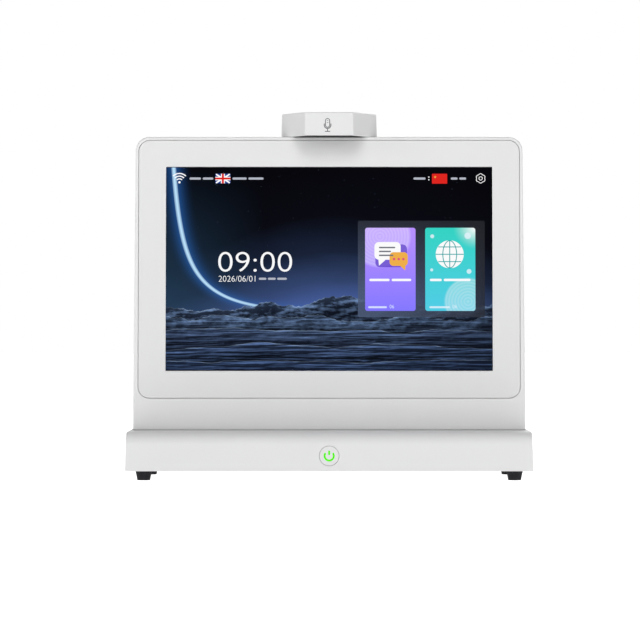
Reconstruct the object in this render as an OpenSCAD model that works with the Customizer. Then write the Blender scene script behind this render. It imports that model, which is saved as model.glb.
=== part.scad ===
// Two-sided desktop translator: a wedge-shaped tower with a screen on each face,
// a six-sided microphone head on top, and a wide base with a push button in front.
// Millimetres. Origin on the table under the middle of the base, +Z up, front towards -Y.

/* [Screen panels] */
// Width of the picture area
screen_w = 217; // [205:1:230]
// Height of the picture area, along the face
screen_h = 135.6; // [126:0.2:144]
// Plain border from the picture area to the panel seam
bezel_border = 18; // [16:0.5:22]
// Thickness of a screen panel
bezel_t = 2.4; // [2.2:0.1:2.8]
// Corner radius of a screen panel
bezel_corner_r = 7.4; // [5:0.2:9]
// Open seam between a screen panel and the housing
seam_gap = 0.35; // [0.2:0.05:0.5]
// Bevel round the window in a screen panel
window_bevel = 0.5; // [0.3:0.1:0.7]
// Thickness of the lip in front of the touch glass
window_lip = 0.9; // [0.7:0.1:1.1]
// Thickness of a touch glass
glass_t = 1.6; // [1.4:0.1:1.8]
// Reach of the touch glass past the window
glass_lap = 6; // [5:0.5:7]
// Thickness of the foam tape behind the touch glass
tape_t = 0.3; // [0.2:0.1:0.5]
// Thickness of a display module
display_t = 3.5; // [3:0.1:4]

/* [Tower] */
// Rim of housing beside a screen panel, at the top
tower_rim = 2.2; // [1.9:0.1:3]
// How much wider each side is at the foot than at the top
tower_flare = 1.3; // [0.5:0.1:3]
// Rim of housing above a screen panel, along the face
top_rim = 2.5; // [2.3:0.1:4]
// Plain chin below a screen panel, along the face
chin_h = 21.3; // [18:0.1:28]
// Thickness of the tower at its foot
tower_foot_t = 46; // [42:1:54]
// Thickness of the tower at its top
tower_top_t = 18; // [17:1:24]
// Radius of the tower's upper corners
tower_corner_r = 9.2; // [7:0.2:11]
// Rounding of the tower's long edges
tower_edge_r = 1.2; // [0.8:0.1:1.6]
// Wall of the tower housing
tower_wall = 2.2; // [1.9:0.1:2.4]
// Thickness of the tower floor
tower_floor = 3; // [2.5:0.5:4]

/* [Base] */
// How far the base stands out past the tower, each side
base_lip = 3.3; // [2:0.1:8]
// Depth of the base from front to back
base_d = 114; // [108:1:130]
// Height of the base body
base_h = 25.8; // [24:0.2:32]
// Inward lean of the base's sides
base_draft = 1.6; // [0:0.2:3]
// Radius of the long upper edges of the base
base_edge_r = 8; // [6:0.5:9]
// Wall of the base shell
base_wall = 2.4; // [2:0.1:3]
// Thickness of the bottom plate
plate_t = 2.2; // [2:0.1:2.6]

/* [Feet] */
// Height of a rubber foot
foot_h = 6.3; // [5:0.1:9]
// Diameter of a foot where it meets the base
foot_top_d = 10.6; // [9.8:0.2:14]
// Diameter of a foot at the table
foot_tip_d = 8.8; // [8.6:0.2:12]
// From the side of the base to a foot's centre
foot_inset_x = 11.7; // [11:0.1:15]
// From the front or back of the base to a foot's centre
foot_inset_y = 12.3; // [11:0.1:16]

/* [Microphone head] */
// Side of the six-sided head
mic_side = 32; // [30:0.5:40]
// Height of the head
mic_h = 15.3; // [13.5:0.1:20]
// Lean of the head's sides
mic_draft = 1.5; // [0:0.5:3]
// Wall of the head
mic_wall = 2; // [1.6:0.2:2.4]
// Number of microphones
mic_count = 6; // [4:1:6]
// Radius of the ring of microphones
mic_ring_r = 19; // [17:0.5:21]
// Diameter of a sound hole
mic_hole_d = 1.4; // [1:0.1:2]

/* [Power button] */
// Diameter of the button
button_d = 12.9; // [12:0.1:14]
// Gap round the button
button_gap = 0.2; // [0.15:0.05:0.3]
// Travel of the button
button_travel = 0.8; // [0.5:0.1:1]
// Height of the button's centre above the underside of the base
button_rise = 10; // [9.6:0.1:10.6]
// Outer radius of the power symbol
symbol_r = 3.6; // [3:0.1:4]
// Stroke of the power symbol
symbol_stroke = 1.2; // [0.8:0.1:1.4]
// Half angle of the symbol's opening
symbol_open = 52; // [30:1:58]

/* [Sound and power] */
// Length of a speaker
speaker_l = 70; // [60:1:72]
// Width of a speaker
speaker_w = 34; // [30:1:38]
// Number of sound slots under a speaker
slot_count = 11; // [7:2:13]
// Width of a sound slot
slot_w = 1.8; // [1.4:0.1:2.4]
// Pitch of the sound slots
slot_pitch = 5; // [4:0.5:5.5]
// Length of the battery pack
battery_l = 88; // [76:1:92]
// Width of the battery pack
battery_w = 50; // [40:1:52]
// Thickness of the battery pack
battery_t = 13; // [10:1:14]
// Width of the power inlet's shell
inlet_w = 8.9; // [8.8:0.1:9]
// Height of the power inlet's shell
inlet_h = 3.3; // [3.2:0.1:3.4]

/* [Fasteners and fits] */
// Radius of the large screws' threads
screw_r = 1.5; // [1.3:0.1:1.6]
// Radius of the small screws' threads
small_screw_r = 1; // [0.8:0.1:1.1]
// Clearance round pieces that drop in
clearance = 0.25; // [0.15:0.05:0.35]
// Thickness of the circuit boards
board_t = 1.6; // [1.2:0.2:1.8]
// Thickness of the sheet-metal middle frame
frame_t = 1.2; // [1:0.1:1.6]

/* [Hidden] */
$fn = 64;

// How far a cutting body runs past what it cuts
past = 1;
// Overlap of two solids that make one moulding
bite = 0.01;

// Screws and bosses
boss_wall = 1.9;
small_boss_wall = 1.2;
boss_r = screw_r + boss_wall;
small_boss_r = small_screw_r + small_boss_wall;
head_h = 1.8;
small_head_h = 1.2;
tip_gap = 0.4;
hole_floor = 0.4;
post_inset = 4;

// Screen panels
bezel_w = screen_w + 2 * bezel_border;
bezel_h = screen_h + 2 * bezel_border;
window_s = chin_h + bezel_border;
window_r = 0.4;
glass_w = screen_w + 2 * glass_lap;
glass_h = screen_h + 2 * glass_lap;
glass_s = window_s - glass_lap;
glass_r = 1;
glass_back = window_lip + glass_t;
tape_inset = 0.5;
tape_margin = 1;
display_front = glass_back + tape_t;
display_back = display_front + display_t;
display_w = glass_w;
display_h = glass_h;
display_r = 1.5;
press_depth = 0.5;
press_w = 60;
press_pitch = 71;
press_low = 26;
press_high = 20;
press_r = 4;
strip_w = 160;
strip_h = 11;
strip_s = 5;
strip_t = 1.2;

// Brackets that clamp a display to its panel
bracket_t = 1;
bracket_end = 12;
bracket_reach = 3;
bracket_x = display_w / 2 + clearance + small_boss_r;
bracket_in_x = display_w / 2 - bracket_reach;
bracket_out_x = bracket_x + small_boss_r;
bracket_s = glass_s + bracket_end;
bracket_h = glass_h - 2 * bracket_end;
bracket_rows = [0.08, 0.5, 0.92];
boss_floor = 1;
bracket_screw_l = display_back + bracket_t - bezel_t - boss_floor - tip_gap;

// Tower: "s" runs up the face from the base, "d" runs into the body from the face
face_len = chin_h + bezel_h + top_rim;
tilt = asin((tower_foot_t - tower_top_t) / 2 / face_len);
tower_h = face_len * cos(tilt);
tower_top_w = bezel_w + 2 * tower_rim;
tower_foot_w = tower_top_w + 2 * tower_flare;
tower_z = foot_h + base_h;
tower_top_z = tower_z + tower_h;
edge_steps = 3;
skirt = 3;
ledge_w = 4;
ledge_t = 2;
gusset_t = 1.6;
gusset_h = 5;
gusset_gap = 14;
gusset_pitch = 30;

// Screws from the base into the tower, and the way that the cables take
tower_screw_inset_x = 28;
tower_screw_inset_y = 11;
tower_screw_x = tower_foot_w / 2 - tower_screw_inset_x;
tower_screw_y = tower_foot_t / 2 - tower_screw_inset_y;
tower_screw_bite = 7;
tower_boss_h = tower_screw_bite + 2 * past;
screw_pad_t = 1;
cable_slot_w = 46;
cable_slot_d = 14;
cable_slot_r = 3;

// Middle frame
frame_boss_gap = 0.8;
frame_boss_x = tower_top_w / 2 - tower_wall - small_boss_r - frame_boss_gap;
frame_rows = [0.16, 0.52, 0.88];
frame_rise = 8;
frame_drop = 6;
frame_bottom_z = tower_z + tower_floor + frame_rise;
frame_top_z = tower_z + (face_len - top_rim - ledge_w - frame_drop) * cos(tilt);
frame_w = 2 * (frame_boss_x + small_boss_r);
frame_h = frame_top_z - frame_bottom_z;
frame_r = 4;
frame_screw_bite = 4;
opening_w = 62;
opening_pitch = 78;
opening_low = 16;
opening_high = 14;
opening_r = 6;
notch_w = 28;
notch_h = 7;

// Boards in the tower
main_w = 124;
main_h = 68;
driver_w = 84;
driver_h = 44;
board_r = 2;
board_lift = 3;
board_rise = 6;
board_low_z = frame_bottom_z + board_rise;
board_screw_bite = 1.2;
chip_h = 1.4;
chip_z = 38;
processor_x = -10;
processor_side = 15;
memory_x = 14;
memory_w = 11;
memory_h = 13;
radio_x = 39;
radio_rise = 6;
radio_w = 12;
radio_h = 9;
coil_side = 4.5;
coil_pitch = 7;
coil_x = -46;
coil_z = 20;
driver_chip_x = -12;
driver_chip_z = 26;
driver_chip_side = 10;
capacitor_side = 5;
capacitor_x = 8;
capacitor_z = 28;
plug_w = 22;
plug_h = 4.5;
plug_t = 1.8;
plug_z = 4;
spreader_w = 44;
spreader_h = 22;
spreader_t = 1.2;

// Flat cables from the displays: two bends below the driver strip, then down to the plug
ribbon_w = 20;
ribbon_t = 0.3;
front_ribbon_x = 28;
rear_ribbon_x = 22;
ribbon_hold = 3;
ribbon_bend_y = 2.4;
ribbon_bend_z = 3;
ribbon_fall_y = 3.4;
ribbon_fall_z = 8;
ribbon_foot_z = 9.5;
ribbon_sway = 1;
ribbon_tuck = 1.2;
ribbon_grip = 1;

// Flat cable from the power board, and the aerials
power_ribbon_x = 15;
power_ribbon_w = 10;
power_ribbon_t = 0.5;
power_ribbon_skin = 0.5;
power_ribbon_hold = 3;
power_ribbon_rise = 3;
power_ribbon_step = 2;
power_ribbon_reach = 5;
power_ribbon_drop = 3.4;
power_ribbon_sag = 2.6;
power_ribbon_turn = 1;
power_ribbon_in = 4;
power_plug_w = 14;
antenna_x = 64;
antenna_l = 44;
antenna_w = 8;
antenna_t = 0.3;

// Microphone head
mic_top_z = tower_top_z + mic_h;
mic_lean = mic_h * tan(mic_draft);
mic_corner_r = 1.2;
mic_bevel = 0.5;
mic_floor_t = 2.4;
mic_roof_slack = 0.5;
mic_cavity_r = mic_side - mic_lean - (mic_wall + mic_roof_slack) / cos(30);
mic_sink = 0.4;
mic_gasket_h = 1;
mic_gasket_r = 2.4;
capsule_w = 4;
capsule_l = 3;
capsule_h = 1.1;
mic_board_z = mic_top_z - mic_wall - mic_gasket_h - capsule_h - board_t;
mic_screw_x = 11;
mic_screw_bite = 3;
mic_post_r = 3;
mic_post_inset = 6;
mic_board_bite = 3;
mic_cable_w = 10;
mic_cable_d = 6;
mic_cable_r = 2;

// Base
base_w = tower_foot_w + 2 * base_lip;
base_top_w = base_w - 2 * base_h * tan(base_draft);
base_edge_break = 0.8;
base_room_z = tower_z - base_wall;
base_screw_bite = 7;
rib_t = 1.6;
rib_h = 5;
rib_gap = 4;
plate_z = foot_h;
plate_top_z = foot_h + plate_t;
plate_r = 1;
plate_seat = 1.2;
plate_screw_gap = 12;
plate_screw_x = battery_l / 2 + plate_screw_gap;
plate_screw_y = base_d / 2 - base_wall - boss_r - 0.6;

// Feet
foot_x = base_w / 2 - foot_inset_x;
foot_y = base_d / 2 - foot_inset_y;
foot_collar = 1.4;
foot_groove = 0.35;
foot_seat = 2.6;
foot_round_r = 0.7;
foot_bore_r = 2 * screw_r + 0.1;

// Power button and switch: "button_y" is the outer face of the base
button_z = foot_h + button_rise;
button_y = -base_d / 2;
button_sink = 0.1;
button_wall_gap = 0.1;
button_flange = 1.2;
button_flange_t = 1.2;
button_inner_y = button_y + base_wall + button_wall_gap;
stem_r = 2.2;
stem_l = 2.6;
stem_end_y = button_inner_y + button_flange_t + stem_l;
lens_depth = 1.4;
lens_back_t = 1;
lens_back_r = symbol_r + 1;
lens_gap = 0.03;
symbol_bar_low = 0.6;
symbol_bar_high = 3.4;
plunger_r = 1.6;
plunger_l = 2.4;
plunger_gap = 0.1;
press_room = 0.4;
plunger_show = press_room + button_travel;
plunger_in = plunger_l - plunger_show;
switch_side = 6.2;
switch_slack = 0.3;
switch_back_t = 1.1;
switch_y = stem_end_y + plunger_show;
switch_room = plunger_in + button_travel + switch_slack;
switch_t = switch_room + switch_back_t;
switch_board_y = switch_y + switch_t;
switch_board_w = 34;
switch_board_h = 15;
switch_post_x = switch_board_w / 2 - post_inset;
switch_post_w = 6;
switch_post_t = 3;
switch_post_h = 12;

// Sound
speaker_gap = 3;
speaker_h = 14;
speaker_rim_t = 2.4;
speaker_corner_r = 6;
speaker_x = base_w / 2 - base_wall - speaker_gap - speaker_l / 2;
speaker_screw_x = speaker_l / 2 - post_inset;
speaker_screw_y = speaker_w / 2 + 3;
speaker_gasket_t = 1;
speaker_gasket_w = 3.5;
speaker_z = plate_top_z + speaker_gasket_t;
ear_r = 3;
surround_w = 4.5;
basket_inset = 3;
magnet_h = 5.2;

// Power
battery_z = plate_top_z + clearance;
battery_y = 4;
cell_r = 3;
strap_w = 14;
strap_t = 1;
strap_foot = 8;
strap_screw_x = battery_l / 2 + clearance + strap_t + strap_foot / 2;
power_board_w = 52;
power_board_d = 16;
power_board_lift = 4;
power_board_z = plate_top_z + power_board_lift;
power_board_y = base_d / 2 - base_wall - clearance - power_board_d;
inlet_l = 7.3;
inlet_sink = 0.4;
inlet_shell_t = 0.35;
inlet_tongue_w = 6.6;
inlet_tongue_t = 0.7;
inlet_z = power_board_z + board_t + inlet_h / 2;

white = "#e9eaec";
black = "#1c1c1f";
steel = "#b8bbc0";
board_green = "#2f5d46";
film_brown = "#c58a35";

// ---------- Shared shapes ----------

// Flat plate outline, centred across, standing on its lower edge
module plate2d(w, h, r) {
  translate([-w / 2, r]) square([w, h - 2 * r]);
  translate([-w / 2 + r, 0]) square([w - 2 * r, h]);
  for (x = [-w / 2 + r, w / 2 - r], y = [r, h - r]) translate([x, y]) circle(r = r);
}

// Plate outline centred both ways
module centred2d(w, h, r) translate([0, -h / 2]) plate2d(w, h, r);

// Slot with round ends, centred, long across X
module slot2d(l, w) {
  square([l - w, w], center = true);
  for (x = [-1, 1]) translate([x * (l - w) / 2, 0]) circle(d = w);
}

// Places children on a tower face: X across, Z up the face, Y into the body
module on_face(turn) rotate([0, 0, turn]) translate([0, -tower_foot_t / 2, tower_z])
  rotate([-tilt, 0, 0]) children();

// Places children on both tower faces
module on_faces() for (turn = [0, 180]) on_face(turn) children();

// Places children at each pair of signs, x left and right, y front and back
module at_corners(x, y) for (a = [-1, 1], b = [-1, 1]) translate([a * x, b * y, 0]) children();

// Plate lying in a tower face, from depth d0 to d1, its lower edge at s
module face_plate(w, h, r, s, d0, d1) translate([0, d1, s]) rotate([90, 0, 0])
  linear_extrude(d1 - d0) plate2d(w, h, r);

// Upright plate across the tower, from y to y + t, standing at height z
module upright_plate(w, h, r, y, t, z) translate([0, y + t, z]) rotate([90, 0, 0])
  linear_extrude(t) plate2d(w, h, r);

// Round bar along +Y
module bar_y(r, l) rotate([-90, 0, 0]) cylinder(r = r, h = l);

// Screw along +Z with its head below z = 0 and a cross-slotted pan head
module screw(r, l, h) {
  cylinder(r = r, h = l);
  difference() {
    translate([0, 0, -h]) cylinder(r1 = 1.7 * r, r2 = 1.9 * r, h = h);
    for (a = [0, 90]) rotate([0, 0, a]) translate([0, 0, -h])
      cube([2 * r, r / 2, h], center = true);
  }
}

// Half thickness of the tower at height z above the table
function half_at(z) = tower_foot_t / 2 - (z - tower_z) * tan(tilt);

// Points on an arc
function arc(cx, cy, r, a0, a1, n = 8) =
  [for (i = [0:n]) [cx + r * cos(a0 + (a1 - a0) * i / n), cy + r * sin(a0 + (a1 - a0) * i / n)]];

// Strip of thickness t that follows a path of [y, z] points, w wide across X
module strip(path, w, t) {
  n = len(path) - 1;
  function dir(i) = let (v = path[min(i + 1, n)] - path[min(i, n - 1)]) v / norm(v);
  function side_of(i) = let (a = dir(max(i - 1, 0)), b = dir(i), m = a + b,
    u = m / norm(m)) [-u[1], u[0]] / max(0.3, u * b) * t / 2;
  left = [for (i = [0:n]) path[i] + side_of(i)];
  right = [for (i = [n:-1:0]) path[i] - side_of(i)];
  rotate([90, 0, 90]) linear_extrude(w, center = true) polygon(concat(left, right));
}

// ---------- Tower ----------

// Outer body of the tower: rounded along every long edge, cut level where it meets the base
module tower_body() {
  slice_t = 0.2;
  block = 1;
  intersection() {
    hull() for (turn = [0, 180], k = [0:edge_steps], x = [-1, 1]) {
      a = 90 * k / edge_steps;
      inset = tower_edge_r * (1 - sin(a));
      depth = tower_edge_r * (1 - cos(a));
      on_face(turn) {
        translate([x * (tower_top_w / 2 - tower_corner_r), depth, face_len - tower_corner_r])
          rotate([-90, 0, 0]) cylinder(r = tower_corner_r - inset, h = slice_t, $fn = 48);
        translate([x * (tower_foot_w / 2 - inset - block / 2) - block / 2, depth, -skirt])
          cube([block, slice_t, block]);
      }
    }
    translate([-base_w, -base_d, tower_z]) cube([2 * base_w, 2 * base_d, 2 * tower_h]);
  }
}

// Hollow inside the tower walls
module tower_room() {
  inner_wall = tower_wall / cos(tilt);
  low = tower_z + tower_floor;
  high = tower_top_z - tower_wall;
  r = tower_corner_r - tower_wall;
  foot_half = tower_foot_w / 2 - tower_wall;
  top_half = tower_top_w / 2 - tower_wall;
  intersection() {
    rotate([90, 0, 90]) linear_extrude(base_w, center = true) polygon([
      [-half_at(low) + inner_wall, low], [half_at(low) - inner_wall, low],
      [half_at(high) - inner_wall, high], [-half_at(high) + inner_wall, high]]);
    rotate([90, 0, 0]) linear_extrude(base_d, center = true) polygon(concat(
      [[-foot_half, low], [foot_half, low]],
      arc(top_half - r, high - r, r, 0, 90),
      arc(r - top_half, high - r, r, 90, 180)));
  }
}

// Ledge that a screen panel seats on
module panel_ledge() difference() {
  face_plate(bezel_w + 3 * ledge_w, bezel_h + 3 * ledge_w, bezel_corner_r,
    chin_h - 1.5 * ledge_w, bezel_t / 2, bezel_t + ledge_t);
  face_plate(bezel_w - 2 * ledge_w, bezel_h - 2 * ledge_w, bezel_corner_r - ledge_w / 2,
    chin_h + ledge_w, 0, bezel_t + 2 * ledge_t);
}

// Places children at the middle frame's screws, Y towards the back
module at_frame_screws() for (x = [-1, 1], k = frame_rows)
  translate([x * frame_boss_x, 0, frame_bottom_z + frame_h * k]) children();

// Everything moulded inside the tower: ledges, frame bosses, floor bosses and gussets
module tower_fittings() {
  on_faces() panel_ledge();
  at_frame_screws() translate([0, frame_t / 2, 0]) bar_y(small_boss_r, tower_foot_t);
  at_corners(tower_screw_x, tower_screw_y) translate([0, 0, tower_z])
    cylinder(r = boss_r, h = tower_floor + tower_boss_h);
  for (x = [-1, 1], i = [0, 1])
    translate([x * (tower_screw_x - gusset_gap - gusset_pitch * i) - gusset_t / 2,
      -tower_foot_t / 2, tower_z])
      cube([gusset_t, tower_foot_t, tower_floor + gusset_h]);
}

module tower_housing() color(white) difference() {
  tower_body();
  difference() {
    tower_room();
    tower_fittings();
  }
  on_faces() face_plate(bezel_w + 2 * seam_gap, bezel_h + 2 * seam_gap,
    bezel_corner_r + seam_gap, chin_h - seam_gap, -bezel_t, bezel_t);
  at_frame_screws() bar_y(small_screw_r, frame_t / 2 + frame_screw_bite + past);
  at_corners(tower_screw_x, tower_screw_y) translate([0, 0, tower_z - past])
    cylinder(r = screw_r, h = tower_screw_bite + 2 * past);
  cable_way(tower_z - past, tower_floor + 2 * past);
  translate([0, 0, tower_top_z - 2 * tower_wall]) {
    linear_extrude(4 * tower_wall) centred2d(mic_cable_w, mic_cable_d, mic_cable_r);
    for (x = [-1, 1]) translate([x * mic_screw_x, 0, 0])
      cylinder(r = screw_r + clearance, h = 4 * tower_wall);
  }
}

// Opening that the cables use between base and tower
module cable_way(z, h) translate([0, 0, z]) linear_extrude(h)
  centred2d(cable_slot_w, cable_slot_d, cable_slot_r);

// Places children at one panel's bracket screws, on a tower face
module at_bracket_screws() for (x = [-1, 1], k = bracket_rows)
  translate([x * bracket_x, 0, bracket_s + k * bracket_h]) children();

// Screen panel with its window, the pocket for the glass and the bracket bosses
module bezel(turn) color(white) on_face(turn) difference() {
  union() {
    face_plate(bezel_w, bezel_h, bezel_corner_r, chin_h, 0, bezel_t);
    at_bracket_screws() translate([0, bezel_t / 2, 0])
      bar_y(small_boss_r, display_back - bezel_t / 2);
  }
  face_plate(screen_w, screen_h, window_r, window_s, -past, bezel_t + past);
  hull() {
    face_plate(screen_w + 2 * window_bevel, screen_h + 2 * window_bevel, window_r,
      window_s - window_bevel, -0.1, 0);
    face_plate(screen_w, screen_h, window_r, window_s, 0, window_bevel);
  }
  face_plate(glass_w + 2 * clearance, glass_h + 2 * clearance, glass_r,
    glass_s - clearance, window_lip, bezel_t + past);
  at_bracket_screws() translate([0, bezel_t + boss_floor, 0])
    bar_y(small_screw_r, display_back);
}

module front_bezel() bezel(0);
module rear_bezel() bezel(180);

module touch_glass(turn) color(black) on_face(turn)
  face_plate(glass_w, glass_h, glass_r, glass_s, window_lip, glass_back);

module front_touch_glass() touch_glass(0);
module rear_touch_glass() touch_glass(180);

// Foam tape frame that seals the display to the glass
module foam_tape(turn) color("#303030") on_face(turn) difference() {
  face_plate(glass_w - 2 * tape_inset, glass_h - 2 * tape_inset, glass_r,
    glass_s + tape_inset, glass_back, display_front);
  face_plate(screen_w + 2 * tape_margin, screen_h + 2 * tape_margin, glass_r,
    window_s - tape_margin, glass_back - past, display_front + past);
}

module front_foam_tape() foam_tape(0);
module rear_foam_tape() foam_tape(180);

// Display module: sheet-metal back with pressed panels and a driver strip along its lower edge
module display(turn) color(steel) on_face(turn) {
  difference() {
    face_plate(display_w, display_h, display_r, glass_s, display_front, display_back);
    for (x = [-1, 0, 1]) translate([x * press_pitch, 0, 0])
      face_plate(press_w, display_h - press_low - press_high, press_r,
        glass_s + press_low, display_back - press_depth, display_back + past);
  }
  face_plate(strip_w, strip_h, display_r, glass_s + strip_s, display_back, display_back + strip_t);
}

module front_display() display(0);
module rear_display() display(180);

// Two strips that clamp a display's edges to the panel's bosses
module brackets(turn) color(steel) on_face(turn) difference() {
  for (x = [-1, 1]) translate([x * (bracket_in_x + bracket_out_x) / 2, 0, 0])
    face_plate(bracket_out_x - bracket_in_x, bracket_h, display_r, bracket_s,
      display_back, display_back + bracket_t);
  at_bracket_screws() translate([0, display_back - past, 0])
    bar_y(small_screw_r + clearance / 2, bracket_t + 2 * past);
}

module front_brackets() brackets(0);
module rear_brackets() brackets(180);

module bracket_screws() color(steel) on_faces() at_bracket_screws()
  translate([0, display_back + bracket_t, 0]) rotate([90, 0, 0])
  screw(small_screw_r, bracket_screw_l, small_head_h);

// Middle frame: a pressed sheet with openings and stand-offs for the boards
module middle_frame() color(steel) difference() {
  union() {
    upright_plate(frame_w, frame_h, frame_r, -frame_t / 2, frame_t, frame_bottom_z);
    at_board_posts(main_w, main_h) translate([0, -board_lift, 0]) bar_y(small_boss_r, board_lift);
    at_board_posts(driver_w, driver_h) bar_y(small_boss_r, board_lift);
  }
  for (x = [-1, 0, 1]) translate([x * opening_pitch, 0, 0])
    upright_plate(opening_w, frame_h - main_h - opening_low - opening_high, opening_r,
      -frame_t, 2 * frame_t, frame_bottom_z + main_h + opening_low);
  upright_plate(notch_w, notch_h + past, past, -frame_t, 2 * frame_t, frame_bottom_z - past);
  at_frame_screws() translate([0, -frame_t, 0]) bar_y(small_screw_r + clearance / 2, 2 * frame_t);
  at_board_posts(main_w, main_h) translate([0, -board_lift - past, 0])
    bar_y(small_screw_r, board_lift + frame_t + 2 * past);
  at_board_posts(driver_w, driver_h) translate([0, -frame_t, 0])
    bar_y(small_screw_r, board_lift + frame_t + past);
}

// Places children at the corners where a tower board is screwed down
module at_board_posts(w, h) for (x = [-1, 1], z = [post_inset, h - post_inset])
  translate([x * (w / 2 - post_inset), 0, board_low_z + z]) children();

module frame_screws() color(steel) at_frame_screws() translate([0, -frame_t / 2, 0])
  rotate([-90, 0, 0]) screw(small_screw_r, frame_t + frame_screw_bite, small_head_h);

// Board standing on the middle frame; out = -1 faces front, 1 faces back
module tower_board(w, h, out) {
  y = out < 0 ? -board_lift - board_t : board_lift;
  difference() {
    upright_plate(w, h, board_r, y, board_t, board_low_z);
    at_board_posts(w, h) translate([0, y - past, 0])
      bar_y(small_screw_r + clearance / 2, board_t + 2 * past);
  }
}

// Chip or plug on a tower board, at x and height z above the board's lower edge
module chip(x, z, w, h, t, out) {
  y = out < 0 ? -board_lift - board_t - t : board_lift + board_t;
  translate([x - w / 2, y, board_low_z + z - h / 2]) cube([w, t, h]);
}

module main_board() color(board_green) {
  tower_board(main_w, main_h, -1);
  chip(processor_x, chip_z, processor_side, processor_side, chip_h, -1);
  chip(memory_x, chip_z, memory_w, memory_h, chip_h, -1);
  for (x = [-radio_x, radio_x]) chip(x, chip_z + radio_rise, radio_w, radio_h, chip_h, -1);
  for (i = [0:4])
    chip(coil_x + coil_pitch * i, coil_z, coil_side, coil_side, coil_side / 2, -1);
  chip(front_ribbon_x, plug_z, plug_w, plug_h, plug_t, -1);
  chip(-power_ribbon_x, plug_z, power_plug_w, plug_h, plug_t, -1);
}

module heat_spreader() color("#c9ccd1")
  translate([0, -board_lift - board_t - chip_h, board_low_z + chip_z])
  rotate([90, 0, 0]) linear_extrude(spreader_t) centred2d(spreader_w, spreader_h, board_r);

module driver_board() color(board_green) {
  tower_board(driver_w, driver_h, 1);
  chip(driver_chip_x, driver_chip_z, driver_chip_side, driver_chip_side, chip_h, 1);
  for (i = [0:3])
    chip(capacitor_x + coil_pitch * i, capacitor_z, capacitor_side, capacitor_side, plug_t, 1);
  chip(-rear_ribbon_x, plug_z, plug_w, plug_h, plug_t, 1);
}

module board_screws() color(steel) {
  at_board_posts(main_w, main_h) translate([0, -board_lift - board_t, 0])
    rotate([-90, 0, 0]) screw(small_screw_r, board_t + board_screw_bite, small_head_h);
  at_board_posts(driver_w, driver_h) translate([0, board_lift + board_t, 0])
    rotate([90, 0, 0]) screw(small_screw_r, board_t + board_screw_bite, small_head_h);
}

// Point at face height s and depth d, as [y, z], on the front half of the tower
function face_point(s, d) = [
  -tower_foot_t / 2 + s * sin(tilt) + d * cos(tilt),
  tower_z + s * cos(tilt) - d * sin(tilt)
];

// Flat cable from a display's driver strip down and across to a board's plug
function ribbon_path(out) = let (
  a = face_point(glass_s + strip_s + ribbon_hold, display_back + strip_t + ribbon_t),
  y = -out - plug_t - clearance - ribbon_t / 2
) [
  a, a + [ribbon_bend_y, -ribbon_bend_z], a + [ribbon_fall_y, -ribbon_fall_z],
  [y - ribbon_sway, a[1] - ribbon_foot_z],
  [y, board_low_z + ribbon_tuck], [y, board_low_z + plug_z + ribbon_grip]
];

module ribbon(x) translate([x, 0, 0]) strip(ribbon_path(board_lift + board_t), ribbon_w, ribbon_t);
module front_ribbon() color(film_brown) ribbon(front_ribbon_x);
module rear_ribbon() color(film_brown) rotate([0, 0, 180]) ribbon(rear_ribbon_x);

// Flat cable from the power board up through both floors to the main board
module power_ribbon() color("#b9a98c") translate([-power_ribbon_x, 0, 0]) {
  y = -board_lift - board_t - plug_t - clearance - power_ribbon_t / 2;
  strip([
    [power_board_y + power_ribbon_hold, power_board_z + board_t + power_ribbon_skin],
    [power_board_y - power_ribbon_step, power_board_z + board_t + power_ribbon_rise],
    [power_board_y - power_ribbon_reach, base_room_z - power_ribbon_drop],
    [power_ribbon_step, base_room_z - power_ribbon_sag],
    [-power_ribbon_step, base_room_z - power_ribbon_turn],
    [-power_ribbon_in, tower_z + tower_floor + power_ribbon_step],
    [y, board_low_z - power_ribbon_step], [y, board_low_z + plug_z + ribbon_grip]
  ], power_ribbon_w, power_ribbon_t);
}

// Two flexible aerials on the inside of the housing's top wall
module antennas() color("#6b4a2a") for (x = [-1, 1])
  translate([x * antenna_x - antenna_l / 2, -antenna_w / 2, tower_top_z - tower_wall - antenna_t])
  cube([antenna_l, antenna_w, antenna_t]);

module tower_screws() color(steel) {
  at_corners(tower_screw_x, tower_screw_y) translate([0, 0, base_room_z - screw_pad_t])
    screw(screw_r, screw_pad_t + base_wall + tower_screw_bite, head_h);
  for (x = [-1, 1]) translate([x * mic_screw_x, 0, tower_top_z - tower_wall])
    screw(screw_r, tower_wall + mic_floor_t + mic_screw_bite, head_h);
}

// ---------- Microphone head ----------

// Six-sided prism with one flat forward
module hexagon(r, h) cylinder(r = r, h = h, $fn = 6);

// Outer body of the head: leaning sides, rounded upright edges, bevelled top and bottom
module mic_body() translate([0, 0, tower_top_z]) hull() for (i = [0:5]) rotate([0, 0, 60 * i]) {
  slice_t = 0.1;
  foot_r = mic_side - mic_corner_r / cos(30);
  top_r = foot_r - mic_lean;
  for (p = [[foot_r - mic_bevel, 0], [foot_r, mic_bevel], [top_r, mic_h - mic_bevel],
    [top_r - mic_bevel, mic_h - slice_t]])
    translate([p[0], 0, p[1]]) cylinder(r = mic_corner_r, h = slice_t, $fn = 24);
}

// Places children on the ring of microphones
module on_mic_ring() for (i = [0:mic_count - 1]) rotate([0, 0, 360 / mic_count * (i + 0.5)])
  translate([mic_ring_r, 0, 0]) children();

// Places children on the three posts that carry the microphone board
module on_mic_posts() for (i = [0:2]) rotate([0, 0, 30 + 120 * i])
  translate([mic_ring_r - mic_post_inset, 0, 0]) children();

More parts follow.
